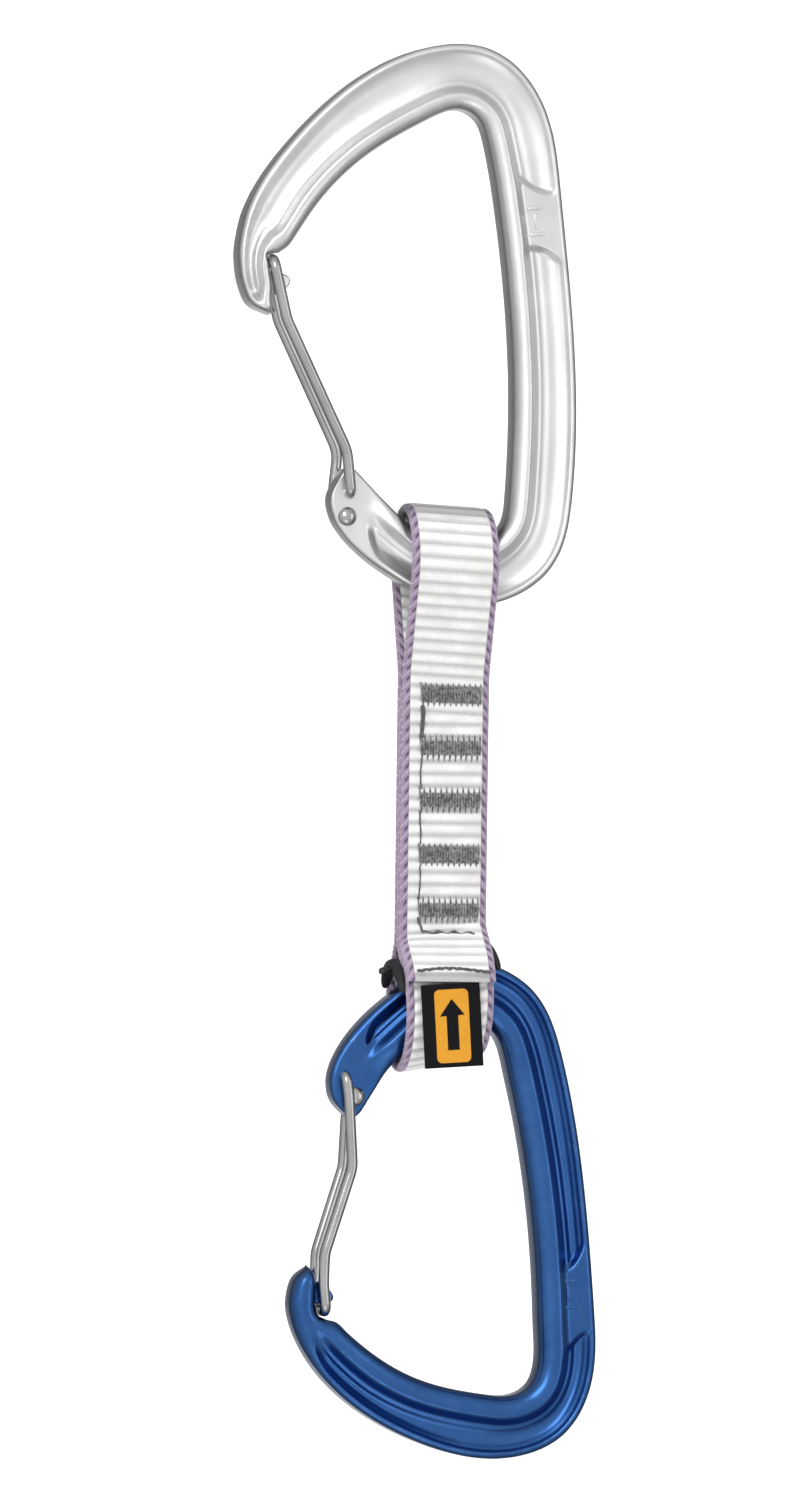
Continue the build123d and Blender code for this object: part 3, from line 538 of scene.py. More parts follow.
# the front ply's ribs stay nearly level down to its hem
kc = np.where(SS < 60.0, 0.95 * kz / np.where(np.abs(TZ) < 0.5, np.where(TZ < 0, -0.5, 0.5), TZ), 0.0)
V_TURN = float(SS[int(np.argmax(ZZ))])
for side in (1, -1):
    for i in range(rows + 1):
        for j in range(ns):
            x = sx[j]
            se = SS[i] + kc[i] * x
            ph = (se / PITCH) % 1.0
            dv = min(ph, 1 - ph) * PITCH
            rb = -0.26 * math.exp(-(dv / 0.34) ** 2) + 0.07 * math.cos(2 * math.pi * ph + math.pi)
            edge = max(0.0, (abs(x) - 6.75) / 1.25)
            wav = 0.07 * math.sin(2 * math.pi * SS[i] / PITCH * 1.0 + (0.9 if x > 0 else 0.0) + side) * edge
            peb = 0.07 * math.sin(2 * math.pi * (SS[i] / PITCH * 1.0 + 0.5 * side * (1 if x > 0 else -1))
                                  + 4.0 * (abs(x) - 7.3)) * (1 if 6.85 < abs(x) < 7.6 else 0)
            t = st[j] + rb * sg[j] + peb
            if 0 < j < ns - 1:
                t = max(t, 0.05)
            xx = x + math.copysign(wav, x) * (1 if j in range(0, 8) or j in range(ns - 8, ns) else 0)
            V.append((xx, YY[i] + NY[i] * t * side, ZZ[i] + NZ[i] * t * side + kz[i] * x))
            UV.append((x, se))
V, UV = np.array(V), np.array(UV)
# level cut of the outer ply's end, just above the label
blk = (rows + 1) * ns
nfix = int(16 / STEP)
for side in range(2):
    for j in range(ns):
        ids = side * blk + np.arange(nfix) * ns + j
        z = V[ids, 2].copy()
        y = V[ids, 1].copy()
        over = np.argmax(z > HEM_Z)
        if z[0] < HEM_Z:
            f = (HEM_Z - z[over - 1]) / (z[over] - z[over - 1])
            z0, y0 = HEM_Z, y[over - 1] + f * (y[over] - y[over - 1])
            src = np.linspace(over - 1 + f, nfix - 1, nfix)
            V[ids, 2] = np.interp(src, np.arange(nfix), z)
            V[ids, 1] = np.interp(src, np.arange(nfix), y)
            UV[ids, 1] = np.interp(src, np.arange(nfix), UV[ids, 1].copy())
nv = blk
for i in range(rows):
    for j in range(ns - 1):
        a, b = i * ns + j, (i + 1) * ns + j
        F.append((a, b, b + 1, a + 1))
        F.append((nv + a, nv + a + 1, nv + b + 1, nv + b))
    a, b = i * ns, (i + 1) * ns
    F.append((a, nv + a, nv + b, b))
    a, b = i * ns + ns - 1, (i + 1) * ns + ns - 1
    F.append((a, b, nv + b, nv + a))
for i in (0, rows):
    for j in range(ns - 1):
        a = i * ns + j
        F.append((a, a + 1, nv + a + 1, nv + a))
W3 = [to_part(*v) for v in V]
webbing = face_out(new_object("sling_webbing_weave", W3, F, uvs=UV))

fr = (SS > 4.0) & (SS < 40.0)
oz, oy = ZZ[fr] - NZ[fr] * 1.03 * np.sign(NY[fr]), YY[fr] - NY[fr] * 1.03 * np.sign(NY[fr])


def front_y(x, z):
    k = KL * float(smooth01((-z - 57) / 9.0))
    return float(np.interp(z - k * x, oz, oy))


# ----------------------------------------------------------------- bartacks
FACE_Y = PLY + WEB_T / 2
BARTACK_Z = [-100.31, -109.95, -119.40, -129.40, -139.40]
BW, BH, TX = 11.3, 4.5, 0.70


def local_z(z):
    return z - UCZ


def place(part):
    v, f = part
    return [to_part(*p) for p in v], f


def flat_thread(points, r, n=8, flat=0.7):
    """Thread lying on a face: a plain round tube along the points."""
    v, f = tube(points, r, n)
    return v, f


tacks, tack_cores = [], []
rng = np.random.RandomState(7)
for q, zt in enumerate(BARTACK_Z):
    z = local_z(zt)
    parts, cores = [], []
    for side in (-1, 1):
        y0 = side * (FACE_Y - 0.16)
        # dense core under the zigzags
        core = []
        nx = 46
        zs = (BH / 2 - 1.0)
        prof = [(0, -zs), (0.16, -zs + 0.15), (0.26, -zs * 0.5), (0.30, 0), (0.26, zs * 0.5), (0.16, zs - 0.15), (0, zs)]
        cv, cf = [], []
        for i in range(nx + 1):
            x = -BW / 2 + 0.25 + (BW - 0.5) * i / nx + TX
            ef = min(1.0, i / 3.0, (nx - i) / 3.0)
            for (h, zz) in prof:
                cv.append((x, y0 + side * (0.05 + h * ef + 0.03 * math.sin(i * 2.3)), z + zz))
        m = len(prof)
        for i in range(nx):
            for k in range(m - 1):
                a, b = i * m + k, (i + 1) * m + k
                cf.append((a, b, b + 1, a + 1))
        cores.append((cv, cf))
        teeth = 11
        p = BW / teeth
        for layer in range(2):
            amp = BH / 2 + 0.08 - 0.75 * layer
            off = (0, 0.5)[layer] * p
            pts = []
            for k in range(2 * teeth + 1):
                x = -BW / 2 + p * k / 2 + off
                x = min(max(x, -BW / 2 + 0.05), BW / 2 - 0.05)
                up = 1 if k % 2 == 0 else -1
                jz = 0.16 * (rng.rand() - 0.5)
                jx = 0.10 * (rng.rand() - 0.5)
                if pts and abs(x + jx + TX - pts[-1][0]) < 0.05:
                    continue
                # the needle end dips into the webbing
                pts.append((x + jx + TX, y0 + side * 0.02, z + up * (amp + jz)))
                x2 = min(x + p / 4, BW / 2 - 0.02)
                pts.append((x2 + TX, y0 + side * (0.34 - 0.05 * layer), z + 0.02 * up))
            pts = [pts[0]] + [b for a, b in zip(pts, pts[1:]) if math.dist(a, b) > 0.12]
            line = []
            for a, b in zip(pts, pts[1:]):
                for t in (0, 0.5):
                    k = [a[c] + (b[c] - a[c]) * t for c in range(3)]
                    if t:
                        k[1] += side * 0.09
                    line.append(k)
            line.append(list(pts[-1]))
            parts.append(tube(line, 0.165, 6))
    tacks.append(join("bartack_stitches_%d" % (q + 1), [place(t) for t in parts]))
    tack_cores.append(join("bartack_core_%d" % (q + 1), [place(t) for t in cores]))

# ------------------------------------------------- thread between the tacks
YF = -FACE_Y - 0.06
xs = TX - BW / 2 + 0.35
runs = []
for k, (z0, z1) in enumerate(zip(BARTACK_Z, BARTACK_Z[1:])):
    top, bot = local_z(z0) - BH / 2 + 0.3, local_z(z1) + BH / 2 - 0.3
    for strand in range(2 if k == 0 else 1):
        pts = []
        m = 14
        for i in range(m + 1):
            t = i / m
            pts.append((xs + 0.10 * math.sin(5 * t + 2 * k) + 0.28 * strand, YF + 0.10 * math.cos(2 * math.pi * t * 2.4), top + (bot - top) * t))
        runs.append(tube(pts, 0.26 if k == 0 else 0.15, 8))
zt = local_z(BARTACK_Z[-1])
runs.append(tube([(xs - 0.25, YF + 0.15, zt - BH / 2 + 0.9), (xs - 0.1, YF - 0.12, zt - BH / 2 + 0.1), (xs + 0.25, YF - 0.05, zt - BH / 2 - 0.5),
                  (xs + 0.45, front_y(xs, zt - BH / 2 - 1.2) - 0.08, zt - BH / 2 - 1.2), (xs + 0.7, front_y(xs, zt - BH / 2 - 1.8) - 0.05, zt - BH / 2 - 1.8)], 0.22, 8))
tail = []
for i in range(37):
    t = i / 36
    tx, tz = xs + 0.6 + 9.3 * t, zt - BH / 2 - 1.75 + 0.16 * math.sin(23 * t) - 0.1 * t
    tail.append((tx, front_y(tx, tz) - 0.05 + 0.10 * math.sin(18 * t), tz))
rr = [0.15 + 0.19 * math.exp(-((t - 0.30) / 0.05) ** 2) + 0.24 * math.exp(-((t - 0.62) / 0.045) ** 2)
      + 0.08 * math.exp(-((t - 0.93) / 0.05) ** 2) for t in np.linspace(0, 1, 37)]
runs.append(tube(tail, rr, 8))
thread = join("lockstitch_strands", [place(t) for t in runs])

# ----------------------------------------------------------- hem stitches
GT = math.tan(math.radians(11.28 - 0.78))
R_HEM = R_L + PLY + 1.0
SEAM_Z = -150.35


def hem_point(x, z, lift):
    zc = LCZ + GT * (x - LCX)
    r = R_HEM + lift
    return (x, -math.sqrt(max(r * r - (z - zc) ** 2, 0.01)), z)


seam = []
n = 8
for k in range(n):
    xa = -8.6 + k * 1.66
    pts = []
    for i in range(9):
        t = i / 8
        x = xa + 1.5 * t
        z = SEAM_Z + 0.42 * math.sin((x + 8.4) * 0.30) + 0.10 + 0.05 * math.sin(5.0 * x)
        pts.append(hem_point(x, z, -0.10 + 0.26 * math.sin(math.pi * t)))
    seam.append(tube(pts, 0.30, 10))
hem = join("hem_seam", seam)

# ------------------------------------------------------------ rubber keeper
TL = math.radians(11.28 - 0.78)
KR, KT = 8.25, 0.85


def kp(x, r, e):
    """Point in the tilted loop: x along the bar, e up from the front."""
    y, z = -r * math.cos(math.radians(e)), r * math.sin(math.radians(e))
    return (LCX + x * math.cos(TL) - z * math.sin(TL), y, LCZ + x * math.sin(TL) + z * math.cos(TL))


def lip(x, e0, e1, rx, rr, mid, lean=0.0):
    """Half ring of moulded rubber with rounded ends."""
    V, F = [], []
    n, m = 44, 16
    for i in range(n + 1):
        t = i / n
        e = e0 + (e1 - e0) * t
        g = math.sqrt(max(1 - (2 * t - 1) ** 10, 0.0)) * (0.78 + 0.22 * math.sin(math.pi * t))
        for k in range(m):
            a = 2 * math.pi * k / m
            ca, sa = math.cos(a), math.sin(a)
            up = mid * math.sin(math.radians(e))
            V.append(kp(x + lean * up + rx * g * math.copysign(abs(ca) ** 0.8, ca), mid + rr * g * math.copysign(abs(sa) ** 0.8, sa), e))
    for i in range(n):
        for k in range(m):
            F.append((i * m + k, i * m + (k + 1) % m, (i + 1) * m + (k + 1) % m, (i + 1) * m + k))
    F.append(tuple(range(m)))
    F.append(tuple(n * m + k for k in range(m)))
    return V, F


def strip(x0, x1, e0, e1, r0, r1):
    V, F = [], []
    n, m = 10, 40
    for lay, r in ((0, r0), (1, r1)):
        for i in range(n + 1):
            for j in range(m + 1):
                e = e0 + (e1 - e0) * i / n
                V.append(kp(x0 + (x1 - x0) * j / m, r, e))
    k = (n + 1) * (m + 1)
    for i in range(n):
        for j in range(m):
            a = i * (m + 1) + j
            F.append((a, a + 1, a + m + 2, a + m + 1))
            F.append((k + a, k + a + m + 1, k + a + m + 2, k + a + 1))
    for i in range(n):
        for j in (0, m):
            a = i * (m + 1) + j
            F.append((a, a + m + 1, k + a + m + 1, k + a))
    for j in range(m):
        for i in (0, n):
            a = i * (m + 1) + j
            F.append((a, k + a, k + a + 1, a + 1))
    return V, F


keeper = join("keeper_lips", [strip(-9.2, 11.1, 76, 112, KR, KR + KT - 0.1),
                              lip(-8.35, 27, 150, 1.20, 0.92, KR + 1.02, 0.16),
                              lip(10.75, 31, 150, 0.85, 0.88, KR + 0.98, -0.04)])

# -------------------------------------------------------------------- label
LW, LH, LT = 10.8, 15.2, 0.8
LC0 = (-2.9, -11.35, -152.6)
LA = math.radians(-3.0)


def lab_pt(x, y, z):
    return (LC0[0] + x * math.cos(LA) + z * math.sin(LA), LC0[1] + y, LC0[2] - x * math.sin(LA) + z * math.cos(LA))


def bow(x, z):
    """The tab is a little bowed across and along."""
    return 0.10 * (2 * x / LW) ** 2 - 0.10 * math.sin(math.pi * min(max(-z / LH, 0), 1))


def tab():
    V, F, UV = [], [], []
    nx, nz = 40, 56
    t = 0.36
    ring_pts = []
    # section round the folded tab: front down, round the fold, up the back
    line = [(-t, -LH * 1.0 * k / nz * ((LH - 0.4) / LH)) for k in range(nz + 1)]
    zf = -(LH - 0.4)
    line += [(-t * math.cos(math.pi * k / 10), zf - t * math.sin(math.pi * k / 10)) for k in range(1, 10)]
    line += [(t, zf * (1 - k / nz)) for k in range(nz + 1)]
    m = len(line)
    for i in range(nx + 1):
        x = -LW / 2 + LW * i / nx
        pin = min(1.0, min(i, nx - i) / 1.5)
        for (y, z) in line:
            V.append(lab_pt(x, y * (0.72 + 0.28 * pin) + bow(x, z), z))
            UV.append((x, z))
    for i in range(nx):
        for k in range(m - 1):
            a, b = i * m + k, (i + 1) * m + k
            F.append((a, a + 1, b + 1, b))
        a, b = i * m, (i + 1) * m
        F.append((a + m - 1, a, b, b + m - 1))
    F.append(tuple(range(m)))
    F.append(tuple(nx * m + k for k in range(m)))
    return V, F


def inlay(outline_fn, name, y, lift):
    """Woven panel standing a hair above the tab, triangulated from its outlines and subdivided."""
    s = 0.15
    nx, nz = int(LW / s), int(LH / s)
    V, F, ids = [], [], {}
    bm = bmesh.new()
    for poly in outline_fn:
        vs = [bm.verts.new((p[0], 0, p[1])) for p in poly]
        bm.faces.new(vs)
    bmesh.ops.triangulate(bm, faces=bm.faces)
    for _ in range(3):
        bmesh.ops.subdivide_edges(bm, edges=[e for e in bm.edges if e.calc_length() > 0.8], cuts=1)
        bmesh.ops.triangulate(bm, faces=bm.faces)
    base = [v for v in bm.verts]
    e = bmesh.ops.extrude_face_region(bm, geom=list(bm.faces))
    bmesh.ops.translate(bm, vec=(0, -1, 0), verts=[g for g in e["geom"] if isinstance(g, bmesh.types.BMVert)])
    bm.verts.index_update()
    for v in bm.verts:
        V.append(lab_pt(v.co.x, y + bow(v.co.x, v.co.z) - (lift if v.co.y < -0.5 else -0.05), v.co.z))
    F = [tuple(v.index for v in f.verts) for f in bm.faces]
    bm.free()
    return face_out(new_object(name, V, F, smooth=False))


def round_rect(cx, cz, w, h, r, n=8):
    out = []
    for (sx_, sz_, a0) in ((1, 1, 0), (-1, 1, 90), (-1, -1, 180), (1, -1, 270)):
        for k in range(n + 1):
            a = math.radians(a0 + 90 * k / n)
            out.append((cx + sx_ * (w / 2 - r) + r * math.cos(a), cz + sz_ * (h / 2 - r) + r * math.sin(a)))
    return out


label = join("label_tab", [tab()])
panel = inlay([round_rect(0.0, -7.65, 6.3, 13.3, 0.95)], "label_panel", -0.36, 0.035)
arrow = inlay([[(0.0, -2.75), (-2.3, -5.85), (2.3, -5.7)], [(-1.08, -5.5), (-1.08, -12.0), (1.08, -12.0), (1.08, -5.5)]],
              "label_arrow", -0.36, 0.075)

# ---------------------------------------------------------------- materials


class Mat:
    def __init__(self, name):
        self.m = bpy.data.materials.new(name)
        self.m.use_nodes = True
        self.t = self.m.node_tree
        self.t.nodes.clear()
        self.out = self.t.nodes.new("ShaderNodeOutputMaterial")
        self.b = self.t.nodes.new("ShaderNodeBsdfPrincipled")
        self.t.links.new(self.b.outputs[0], self.out.inputs[0])
        self.co = self.t.nodes.new("ShaderNodeTexCoord")

    def set(self, **kw):
        for k, v in kw.items():
            self.b.inputs[k.replace("_", " ")].default_value = v
        return self

    def link(self, a, b):
        self.t.links.new(a, b)

    def put(self, sock, v):
        if isinstance(v, (int, float)):
            sock.default_value = v
        elif isinstance(v, tuple):
            sock.default_value = v if len(v) == 4 or len(v) == 3 and len(sock.default_value) == 3 else tuple(v) + (1.0,)
        else:
            self.link(v, sock)

    def noise(self, scale, detail=4.0, rough=0.55, vec=None, stretch=None):
        n = self.t.nodes.new("ShaderNodeTexNoise")
        n.inputs["Scale"].default_value = scale
        n.inputs["Detail"].default_value = detail
        n.inputs["Roughness"].default_value = rough
        src = vec or self.co.outputs["Object"]
        if stretch:
            mp = self.t.nodes.new("ShaderNodeMapping")
            mp.inputs["Scale"].default_value = stretch
            self.link(src, mp.inputs["Vector"])
            src = mp.outputs[0]
        self.link(src, n.inputs["Vector"])
        return n.outputs["Fac"]

    def ramp(self, fac, stops):
        r = self.t.nodes.new("ShaderNodeValToRGB")
        self.link(fac, r.inputs[0])
        while len(r.color_ramp.elements) < len(stops):
            r.color_ramp.elements.new(0.5)
        for e, (p, c) in zip(r.color_ramp.elements, stops):
            e.position = p
            e.color = (c, c, c, 1) if isinstance(c, (int, float)) else tuple(c) + (1.0,)
        return r.outputs[0]

    def math(self, op, a, b=0.0, c=None, clamp=False):
        n = self.t.nodes.new("ShaderNodeMath")
        n.operation = op
        n.use_clamp = clamp
        self.put(n.inputs[0], a)
        self.put(n.inputs[1], b)
        if c is not None:
            self.put(n.inputs[2], c)
        return n.outputs[0]

    def mix(self, fac, a, b):
        n = self.t.nodes.new("ShaderNodeMix")
        n.data_type = "RGBA"
        self.put(n.inputs[0], fac)
        self.put(n.inputs[6], a)
        self.put(n.inputs[7], b)
        return n.outputs[2]

    def bump(self, height, strength, dist, normal=None):
        n = self.t.nodes.new("ShaderNodeBump")
        n.inputs["Strength"].default_value = strength
        n.inputs["Distance"].default_value = dist
        self.put(n.inputs["Height"], height)
        if normal is not None:
            self.link(normal, n.inputs["Normal"])
        return n.outputs[0]

    def uv(self):
        s = self.t.nodes.new("ShaderNodeSeparateXYZ")
        self.link(self.co.outputs["UV"], s.inputs[0])
        return s.outputs[0], s.outputs[1]


def give(ob, m):
    ob.data.materials.clear()
    ob.data.materials.append(m.m)


def metal(name, c0, c1, edge, rough, var, grain, bump, worn=0.3, metallic=1.0):
    """Tumbled and polished metal: broad tone change, fine grain, brighter
    worn edges."""
    m = Mat(name)
    m.set(Metallic=metallic)
    broad = m.noise(110, 3)
    fine = m.noise(grain, 5, 0.65)
    geo = m.t.nodes.new("ShaderNodeNewGeometry")
    wear = m.ramp(geo.outputs["Pointiness"], [(0.50, 0.0), (0.56, 1.0)])
    scuff = m.ramp(m.noise(420, 6, 0.7), [(0.46, 0.0), (0.62, 1.0)])
    w = m.math("MULTIPLY", wear, scuff)
    col = m.mix(m.ramp(broad, [(0.3, 0.0), (0.7, 1.0)]), c0, c1)
    m.link(m.mix(m.math("MULTIPLY", w, worn), col, edge), m.b.inputs["Base Color"])
    r = m.math("MULTIPLY_ADD", fine, var, rough - var / 2)
    m.link(m.math("SUBTRACT", r, m.math("MULTIPLY", wear, 0.05)), m.b.inputs["Roughness"])
    scratch = m.noise(900, 3, 0.5, stretch=(1.0, 1.0, 0.12))
    n1 = m.bump(fine, bump, 0.00006)
    m.link(m.bump(scratch, bump * 0.5, 0.00004, n1), m.b.inputs["Normal"])
    return m


silver = metal("satin_silver_aluminium", (0.66, 0.66, 0.665), (0.75, 0.75, 0.75), (0.86, 0.86, 0.86), 0.33, 0.10, 5200, 0.35)
blue = metal("blue_anodised_aluminium", (0.017, 0.083, 0.270), (0.024, 0.108, 0.330), (0.14, 0.29, 0.56), 0.27, 0.08, 5200, 0.28)
blue.set(Coat_Weight=0.35, Coat_Roughness=0.18)
steel = metal("polished_gate_steel", (0.36, 0.355, 0.35), (0.46, 0.455, 0.45), (0.8, 0.8, 0.8), 0.13, 0.06, 2600, 0.15, worn=0.0)

# webbing: ribbed white field, violet selvages with a dark weft, painted shade in the grey valleys between the ribs
web = Mat("ribbed_webbing")
web.set(Metallic=0.0)
u, v = web.uv()
au = web.math("ABSOLUTE", u)
cyc = web.math("FRACT", web.math("DIVIDE", v, PITCH))
near = web.math("MULTIPLY", web.math("MINIMUM", cyc, web.math("SUBTRACT", 1.0, cyc)), PITCH)
# painted shade: grey mixed into the colour at the floor of each rib valley
painted_valley_shade = web.ramp(near, [(0.05, 1.0), (0.80, 0.0)])
field = web.ramp(web.math("SUBTRACT", au, 6.1), [(0.60, 1.0), (0.66, 0.0)])
uneven = web.noise(260, 4)
white = web.mix(web.ramp(uneven, [(0.3, 0.0), (0.7, 1.0)]), (0.68, 0.675, 0.665), (0.82, 0.82, 0.815))
white = web.mix(web.math("MULTIPLY", painted_valley_shade, 0.80), white, (0.42, 0.415, 0.41))
# warp ends: fine lines along the strap
warp = web.math("MULTIPLY_ADD", web.math("SINE", web.math("MULTIPLY", u, 2 * math.pi / 0.42)), 0.5, 0.5)
weft = web.math("MULTIPLY_ADD", web.math("SINE", web.math("MULTIPLY", v, 2 * math.pi / 0.56)), 0.5, 0.5)
white = web.mix(web.math("MULTIPLY", web.math("SUBTRACT", 1.0, warp), 0.16), white, (0.62, 0.61, 0.60))
lil_n = web.noise(900, 3)
lilac = web.mix(lil_n, (0.20, 0.145, 0.225), (0.35, 0.275, 0.375))
# the selvage's dark picks, one each rib, slanted
slant = web.math("FRACT", web.math("ADD", web.math("DIVIDE", v, PITCH), web.math("MULTIPLY", au, 0.55)))
dot = web.ramp(web.math("ABSOLUTE", web.math("SUBTRACT", slant, 0.5)), [(0.10, 1.0), (0.19, 0.0)])
dotx = web.ramp(web.math("ABSOLUTE", web.math("SUBTRACT", au, 7.15)), [(0.22, 1.0), (0.42, 0.0)])
spots = web.math("MULTIPLY", dot, dotx)
lilac = web.mix(web.math("MULTIPLY", spots, 0.85), lilac, (0.055, 0.035, 0.075))
flk = web.ramp(web.math("ABSOLUTE", web.math("SUBTRACT", slant, 0.02)), [(0.06, 1.0), (0.16, 0.0)])
lilac = web.mix(web.math("MULTIPLY", flk, 0.35), lilac, (0.66, 0.60, 0.68))
colour = web.mix(field, lilac, white)
# painted shade: the strip of the front ply between the hem seam and its cut end, where it faces down, is painted one
# tone greyer, and the turn over the bar is painted darker
sep = web.t.nodes.new("ShaderNodeSeparateXYZ")
web.link(web.co.outputs["Object"], sep.inputs[0])
below = web.ramp(web.math("MULTIPLY_ADD", sep.outputs[2], -100.0, -15.0), [(0.040, 0.0), (0.075, 1.0)])
above = web.ramp(web.math("MULTIPLY_ADD", sep.outputs[2], -100.0, -15.0), [(0.225, 1.0), (0.232, 0.0)])
face = web.math("LESS_THAN", sep.outputs[1], -0.0045)
band = web.math("MULTIPLY", web.math("MULTIPLY", below, above), web.math("MULTIPLY", face, field))
# painted shade: grey band on the front ply below the hem seam
colour = web.mix(web.math("MULTIPLY", band, 0.9), colour, (0.37, 0.365, 0.37))
# painted shade: darker where the strap turns over the top of the loop
turn = web.ramp(web.math("MULTIPLY", web.math("ABSOLUTE", web.math("SUBTRACT", v, V_TURN)), 0.1), [(0.36, 1.0), (0.80, 0.0)])
colour = web.mix(web.math("MULTIPLY", turn, 0.9), colour, web.mix(field, (0.030, 0.020, 0.035), (0.17, 0.165, 0.165)))
web.link(colour, web.b.inputs["Base Color"])
web.link(web.math("MULTIPLY_ADD", web.noise(1400, 3), 0.18, 0.62), web.b.inputs["Roughness"])
web.set(Sheen_Weight=0.35, Sheen_Roughness=0.45, Specular_IOR_Level=0.35)
hgt = web.math("ADD", web.math("MULTIPLY", warp, 0.7), web.math("MULTIPLY", weft, 0.35))
hgt = web.math("ADD", hgt, web.math("MULTIPLY", web.noise(3800, 3), 0.5))
web.link(web.bump(hgt, 0.5, 0.00012), web.b.inputs["Normal"])


def thread_mat(name, c0, c1, rough=0.6):
    m = Mat(name)
    m.link(m.mix(m.ramp(m.noise(1900, 4, 0.6), [(0.32, 0.0), (0.68, 1.0)]), c0, c1), m.b.inputs["Base Color"])
    m.link(m.math("MULTIPLY_ADD", m.noise(2500, 2), 0.2, rough - 0.1), m.b.inputs["Roughness"])
    m.set(Sheen_Weight=0.25, Sheen_Roughness=0.4, Specular_IOR_Level=0.4)
    w = m.t.nodes.new("ShaderNodeTexWave")
    w.wave_type = "BANDS"
    w.bands_direction = "DIAGONAL"
    w.inputs["Scale"].default_value = 1500
    w.inputs["Distortion"].default_value = 1.5
    m.link(m.co.outputs["Object"], w.inputs["Vector"])
    m.link(m.bump(w.outputs["Fac"], 0.5, 0.00006), m.b.inputs["Normal"])
    return m


tackm = thread_mat("bartack_grey_thread", (0.035, 0.036, 0.038), (0.30, 0.30, 0.305))
corem = thread_mat("bartack_core_thread", (0.02, 0.021, 0.022), (0.10, 0.10, 0.103))
threadm = thread_mat("dark_sewing_thread", (0.035, 0.04, 0.038), (0.12, 0.125, 0.12))

rubber = Mat("black_moulded_rubber")
rubber.link(rubber.mix(rubber.noise(500, 4), (0.006, 0.006, 0.007), (0.016, 0.016, 0.018)), rubber.b.inputs["Base Color"])
rubber.link(rubber.math("MULTIPLY_ADD", rubber.noise(800, 4), 0.25, 0.30), rubber.b.inputs["Roughness"])
rubber.link(rubber.bump(rubber.noise(2600, 4), 0.3, 0.00008), rubber.b.inputs["Normal"])
rubber.set(Specular_IOR_Level=0.32)


def woven(name, c0, c1):
    """Tight damask label cloth, woven across and down."""
    m = Mat(name)
    s = m.t.nodes.new("ShaderNodeSeparateXYZ")
    m.link(m.co.outputs["Object"], s.inputs[0])
    a = m.math("SINE", m.math("MULTIPLY", s.outputs[0], 2 * math.pi / 0.00034))
    b = m.math("SINE", m.math("MULTIPLY", s.outputs[2], 2 * math.pi / 0.00026))
    g = m.math("MULTIPLY_ADD", m.math("MULTIPLY", a, b), 0.5, 0.5)
    n = m.noise(1300, 3)
    f = m.math("MULTIPLY_ADD", n, 0.6, m.math("MULTIPLY", g, 0.4))
    m.link(m.mix(f, c0, c1), m.b.inputs["Base Color"])
    m.link(m.math("MULTIPLY_ADD", n, 0.2, 0.52), m.b.inputs["Roughness"])
    m.set(Sheen_Weight=0.0, Specular_IOR_Level=0.12)
    m.link(m.bump(g, 0.45, 0.00007), m.b.inputs["Normal"])
    return m


label_black = woven("label_black_weave", (0.0015, 0.0015, 0.002), (0.007, 0.007, 0.009))
label_orange = woven("label_orange_weave", (0.52, 0.215, 0.014), (0.76, 0.37, 0.04))

give(upper, silver)
give(upper_mark, silver)
give(lower, blue)
give(lower_mark, blue)
for o in (ug, ugl, lg, lgl):
    give(o, steel)
give(webbing, web)
for o in tacks:
    give(o, tackm)
for o in tack_cores:
    give(o, corem)
give(thread, threadm)
give(hem, threadm)
give(keeper, rubber)
give(label, label_black)
give(panel, label_orange)
give(arrow, label_black)

# ------------------------------------------------------- bodies and replaces
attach(upper, "upper_carabiner")
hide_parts("upper_carabiner_frame")
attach(upper_mark, "upper_carabiner")
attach(lower, "lower_carabiner")
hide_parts("lower_carabiner_frame")
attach(lower_mark, "lower_carabiner")
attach(ug, "upper_gate")
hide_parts("upper_gate_wire")
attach(lg, "lower_gate")
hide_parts("lower_gate_wire")
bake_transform(ugl)
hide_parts("upper_gate_spring_leg")
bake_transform(lgl)
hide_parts("lower_gate_spring_leg")
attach(webbing, "sling")
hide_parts("sling_webbing")
for k, o in enumerate(tacks):
    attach(o, "sling")
    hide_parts("bartack_%d" % (k + 1))
    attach(tack_cores[k], "sling")
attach(thread, "sling")
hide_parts("lockstitch_thread")
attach(hem, "sling")
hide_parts("hem_stitches")
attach(keeper, "sling")
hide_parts("rubber_keeper")
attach(label, "label")
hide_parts("direction_label")
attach(panel, "label")
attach(arrow, "label")

# -------------------------------------------------------------------- stage
view_dir = Vector((0.20791, 0.97815, 0.0))
target = Vector((-9.87, 2.10, -110.3)) * MM
DIST = 2.6

cam_data = bpy.data.cameras.new("camera")
cam_data.sensor_fit = "VERTICAL"
cam_data.sensor_height = 24.0
cam_data.lens = 24.0 * DIST / 0.27273
cam_data.clip_start, cam_data.clip_end = 0.05, 20.0
cam = bpy.data.objects.new("camera", cam_data)
bpy.context.scene.collection.objects.link(cam)
cam.location = target - view_dir * DIST
cam.rotation_euler = view_dir.to_track_quat("-Z", "Y").to_euler()
bpy.context.scene.camera = cam

# pale sweep: floor below the hanging part, curving up into a wall
prof = [(y, -0.42) for y in np.linspace(-3.0, 0.45, 12)]
prof += [(0.45 + 0.5 * math.sin(a), -0.42 + 0.5 * (1 - math.cos(a))) for a in np.linspace(0.1, math.pi / 2, 14)]
prof += [(0.95, z) for z in np.linspace(0.2, 2.4, 8)]
V, F = [], []
for (y, z) in prof:
    V += [(-2.6, y, z), (2.6, y, z)]
for i in range(len(prof) - 1):
    F.append((2 * i, 2 * i + 1, 2 * i + 3, 2 * i + 2))
me = bpy.data.meshes.new("studio_floor")
me.from_pydata(V, [], F)
me.polygons.foreach_set("use_smooth", [True] * len(me.polygons))
floor = bpy.data.objects.new("studio_floor", me)
bpy.context.scene.collection.objects.link(floor)
fm = Mat("studio_paper")
fm.link(fm.mix(fm.noise(3), (0.86, 0.86, 0.86), (0.88, 0.88, 0.88)), fm.b.inputs["Base Color"])
fm.set(Roughness=0.9, Specular_IOR_Level=0.1)
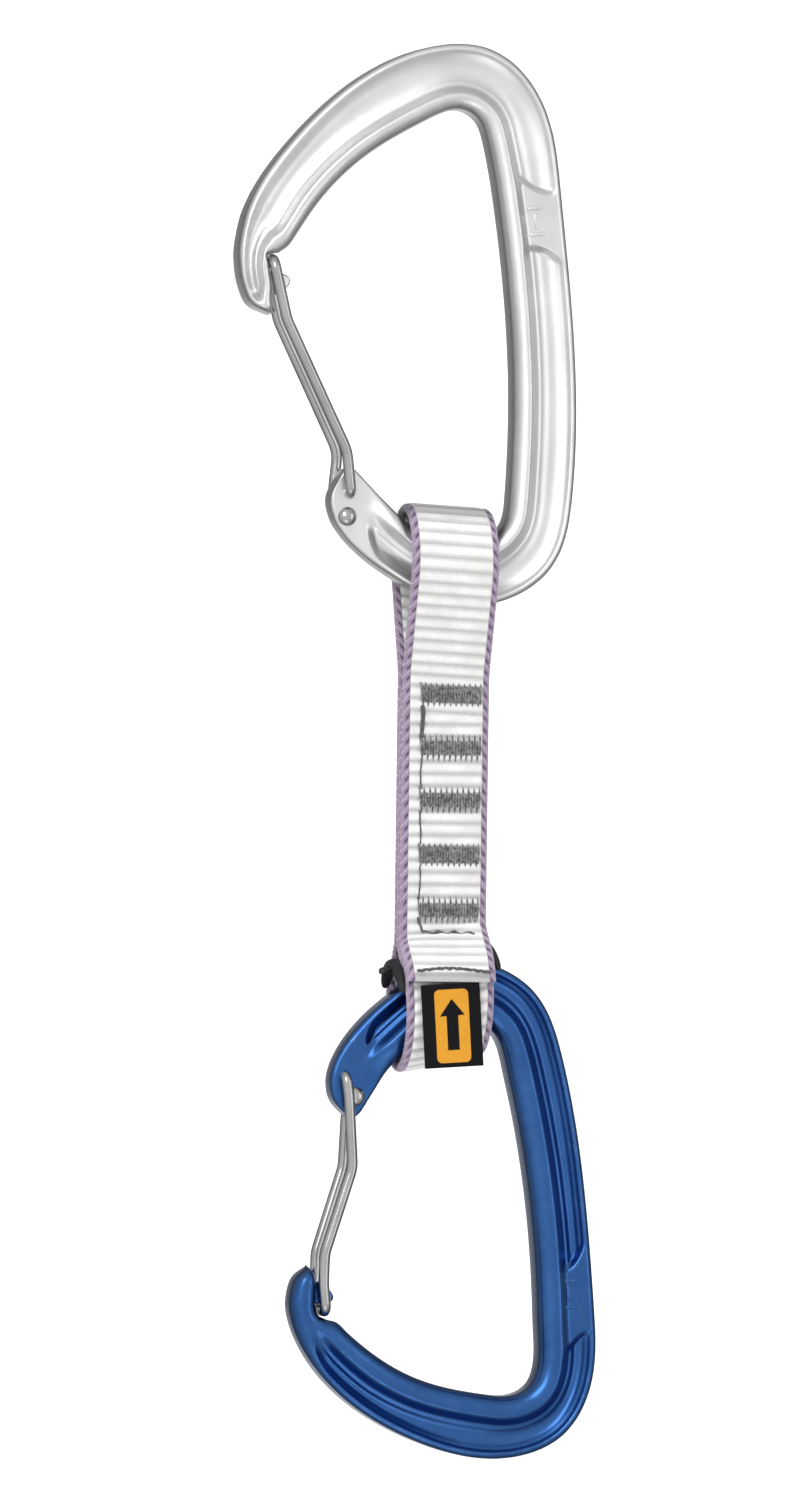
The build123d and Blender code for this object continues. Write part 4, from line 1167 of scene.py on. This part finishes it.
# the sweep is paper on its inner side only
see = fm.t.nodes.new("ShaderNodeBsdfTransparent")
two = fm.t.nodes.new("ShaderNodeMixShader")
side = fm.t.nodes.new("ShaderNodeNewGeometry")
fm.link(side.outputs["Backfacing"], two.inputs[0])
fm.link(fm.b.outputs[0], two.inputs[1])
fm.link(see.outputs[0], two.inputs[2])
fm.link(two.outputs[0], fm.out.inputs[0])
floor.data.materials.append(fm.m)

world = bpy.data.worlds.new("studio")
bpy.context.scene.world = world
world.use_nodes = True
bg = world.node_tree.nodes["Background"]
wt = world.node_tree
wc = wt.nodes.new("ShaderNodeTexCoord")
wx = wt.nodes.new("ShaderNodeSeparateXYZ")
wt.links.new(wc.outputs["Generated"], wx.inputs[0])
wm = wt.nodes.new("ShaderNodeMath")
wm.operation = "MULTIPLY_ADD"
wt.links.new(wx.outputs[1], wm.inputs[0])
wm.inputs[1].default_value = -0.40
wm.inputs[2].default_value = 0.5
wz = wt.nodes.new("ShaderNodeMath")
wz.operation = "MULTIPLY_ADD"
wt.links.new(wx.outputs[2], wz.inputs[0])
wz.inputs[1].default_value = 0.10
wt.links.new(wm.outputs[0], wz.inputs[2])
wh = wt.nodes.new("ShaderNodeMath")
wh.operation = "MULTIPLY_ADD"
wt.links.new(wx.outputs[0], wh.inputs[0])
wh.inputs[1].default_value = -0.15
wt.links.new(wz.outputs[0], wh.inputs[2])
wr = wt.nodes.new("ShaderNodeValToRGB")
for q in (0.2, 0.4, 0.6, 0.8):
    wr.color_ramp.elements.new(q)
wt.links.new(wh.outputs[0], wr.inputs[0])
for e, (q, c) in zip(wr.color_ramp.elements, ((0.07, 0.80), (0.12, 0.42), (0.19, 0.03), (0.36, 0.33), (0.66, 0.68), (0.93, 1.0))):
    e.position = q
    e.color = (c, c, c, 1.0)
wt.links.new(wr.outputs[0], bg.inputs[0])
bg.inputs[1].default_value = 1.08


def area(name, loc, aim, size, power, size_y=None):
    d = bpy.data.lights.new(name, "AREA")
    d.energy = power
    d.size = size
    if size_y:
        d.shape = "RECTANGLE"
        d.size_y = size_y
    o = bpy.data.objects.new(name, d)
    bpy.context.scene.collection.objects.link(o)
    o.location = loc
    o.rotation_euler = (Vector(aim) - Vector(loc)).to_track_quat("-Z", "Y").to_euler()
    return o


mid = (0, 0, -0.11)
area("key", (-0.62, -1.05, 0.50), mid, 0.55, 5.6, 0.9)
area("fill", (0.95, -0.95, -0.05), mid, 0.45, 1.8, 1.1)
top = area("top", (0.0, -0.10, 1.0), mid, 0.8, 2.6)
top.visible_glossy = False
area("low", (-0.2, -0.8, -1.0), mid, 0.6, 1.2)
wall = area("wall", (0.0, 0.35, 1.2), (0.0, 0.95, -0.1), 1.4, 15.0)
floor.visible_glossy = False
wall.visible_glossy = False

bpy.context.scene.view_settings.view_transform = "Standard"

bpy.context.view_layer.update()
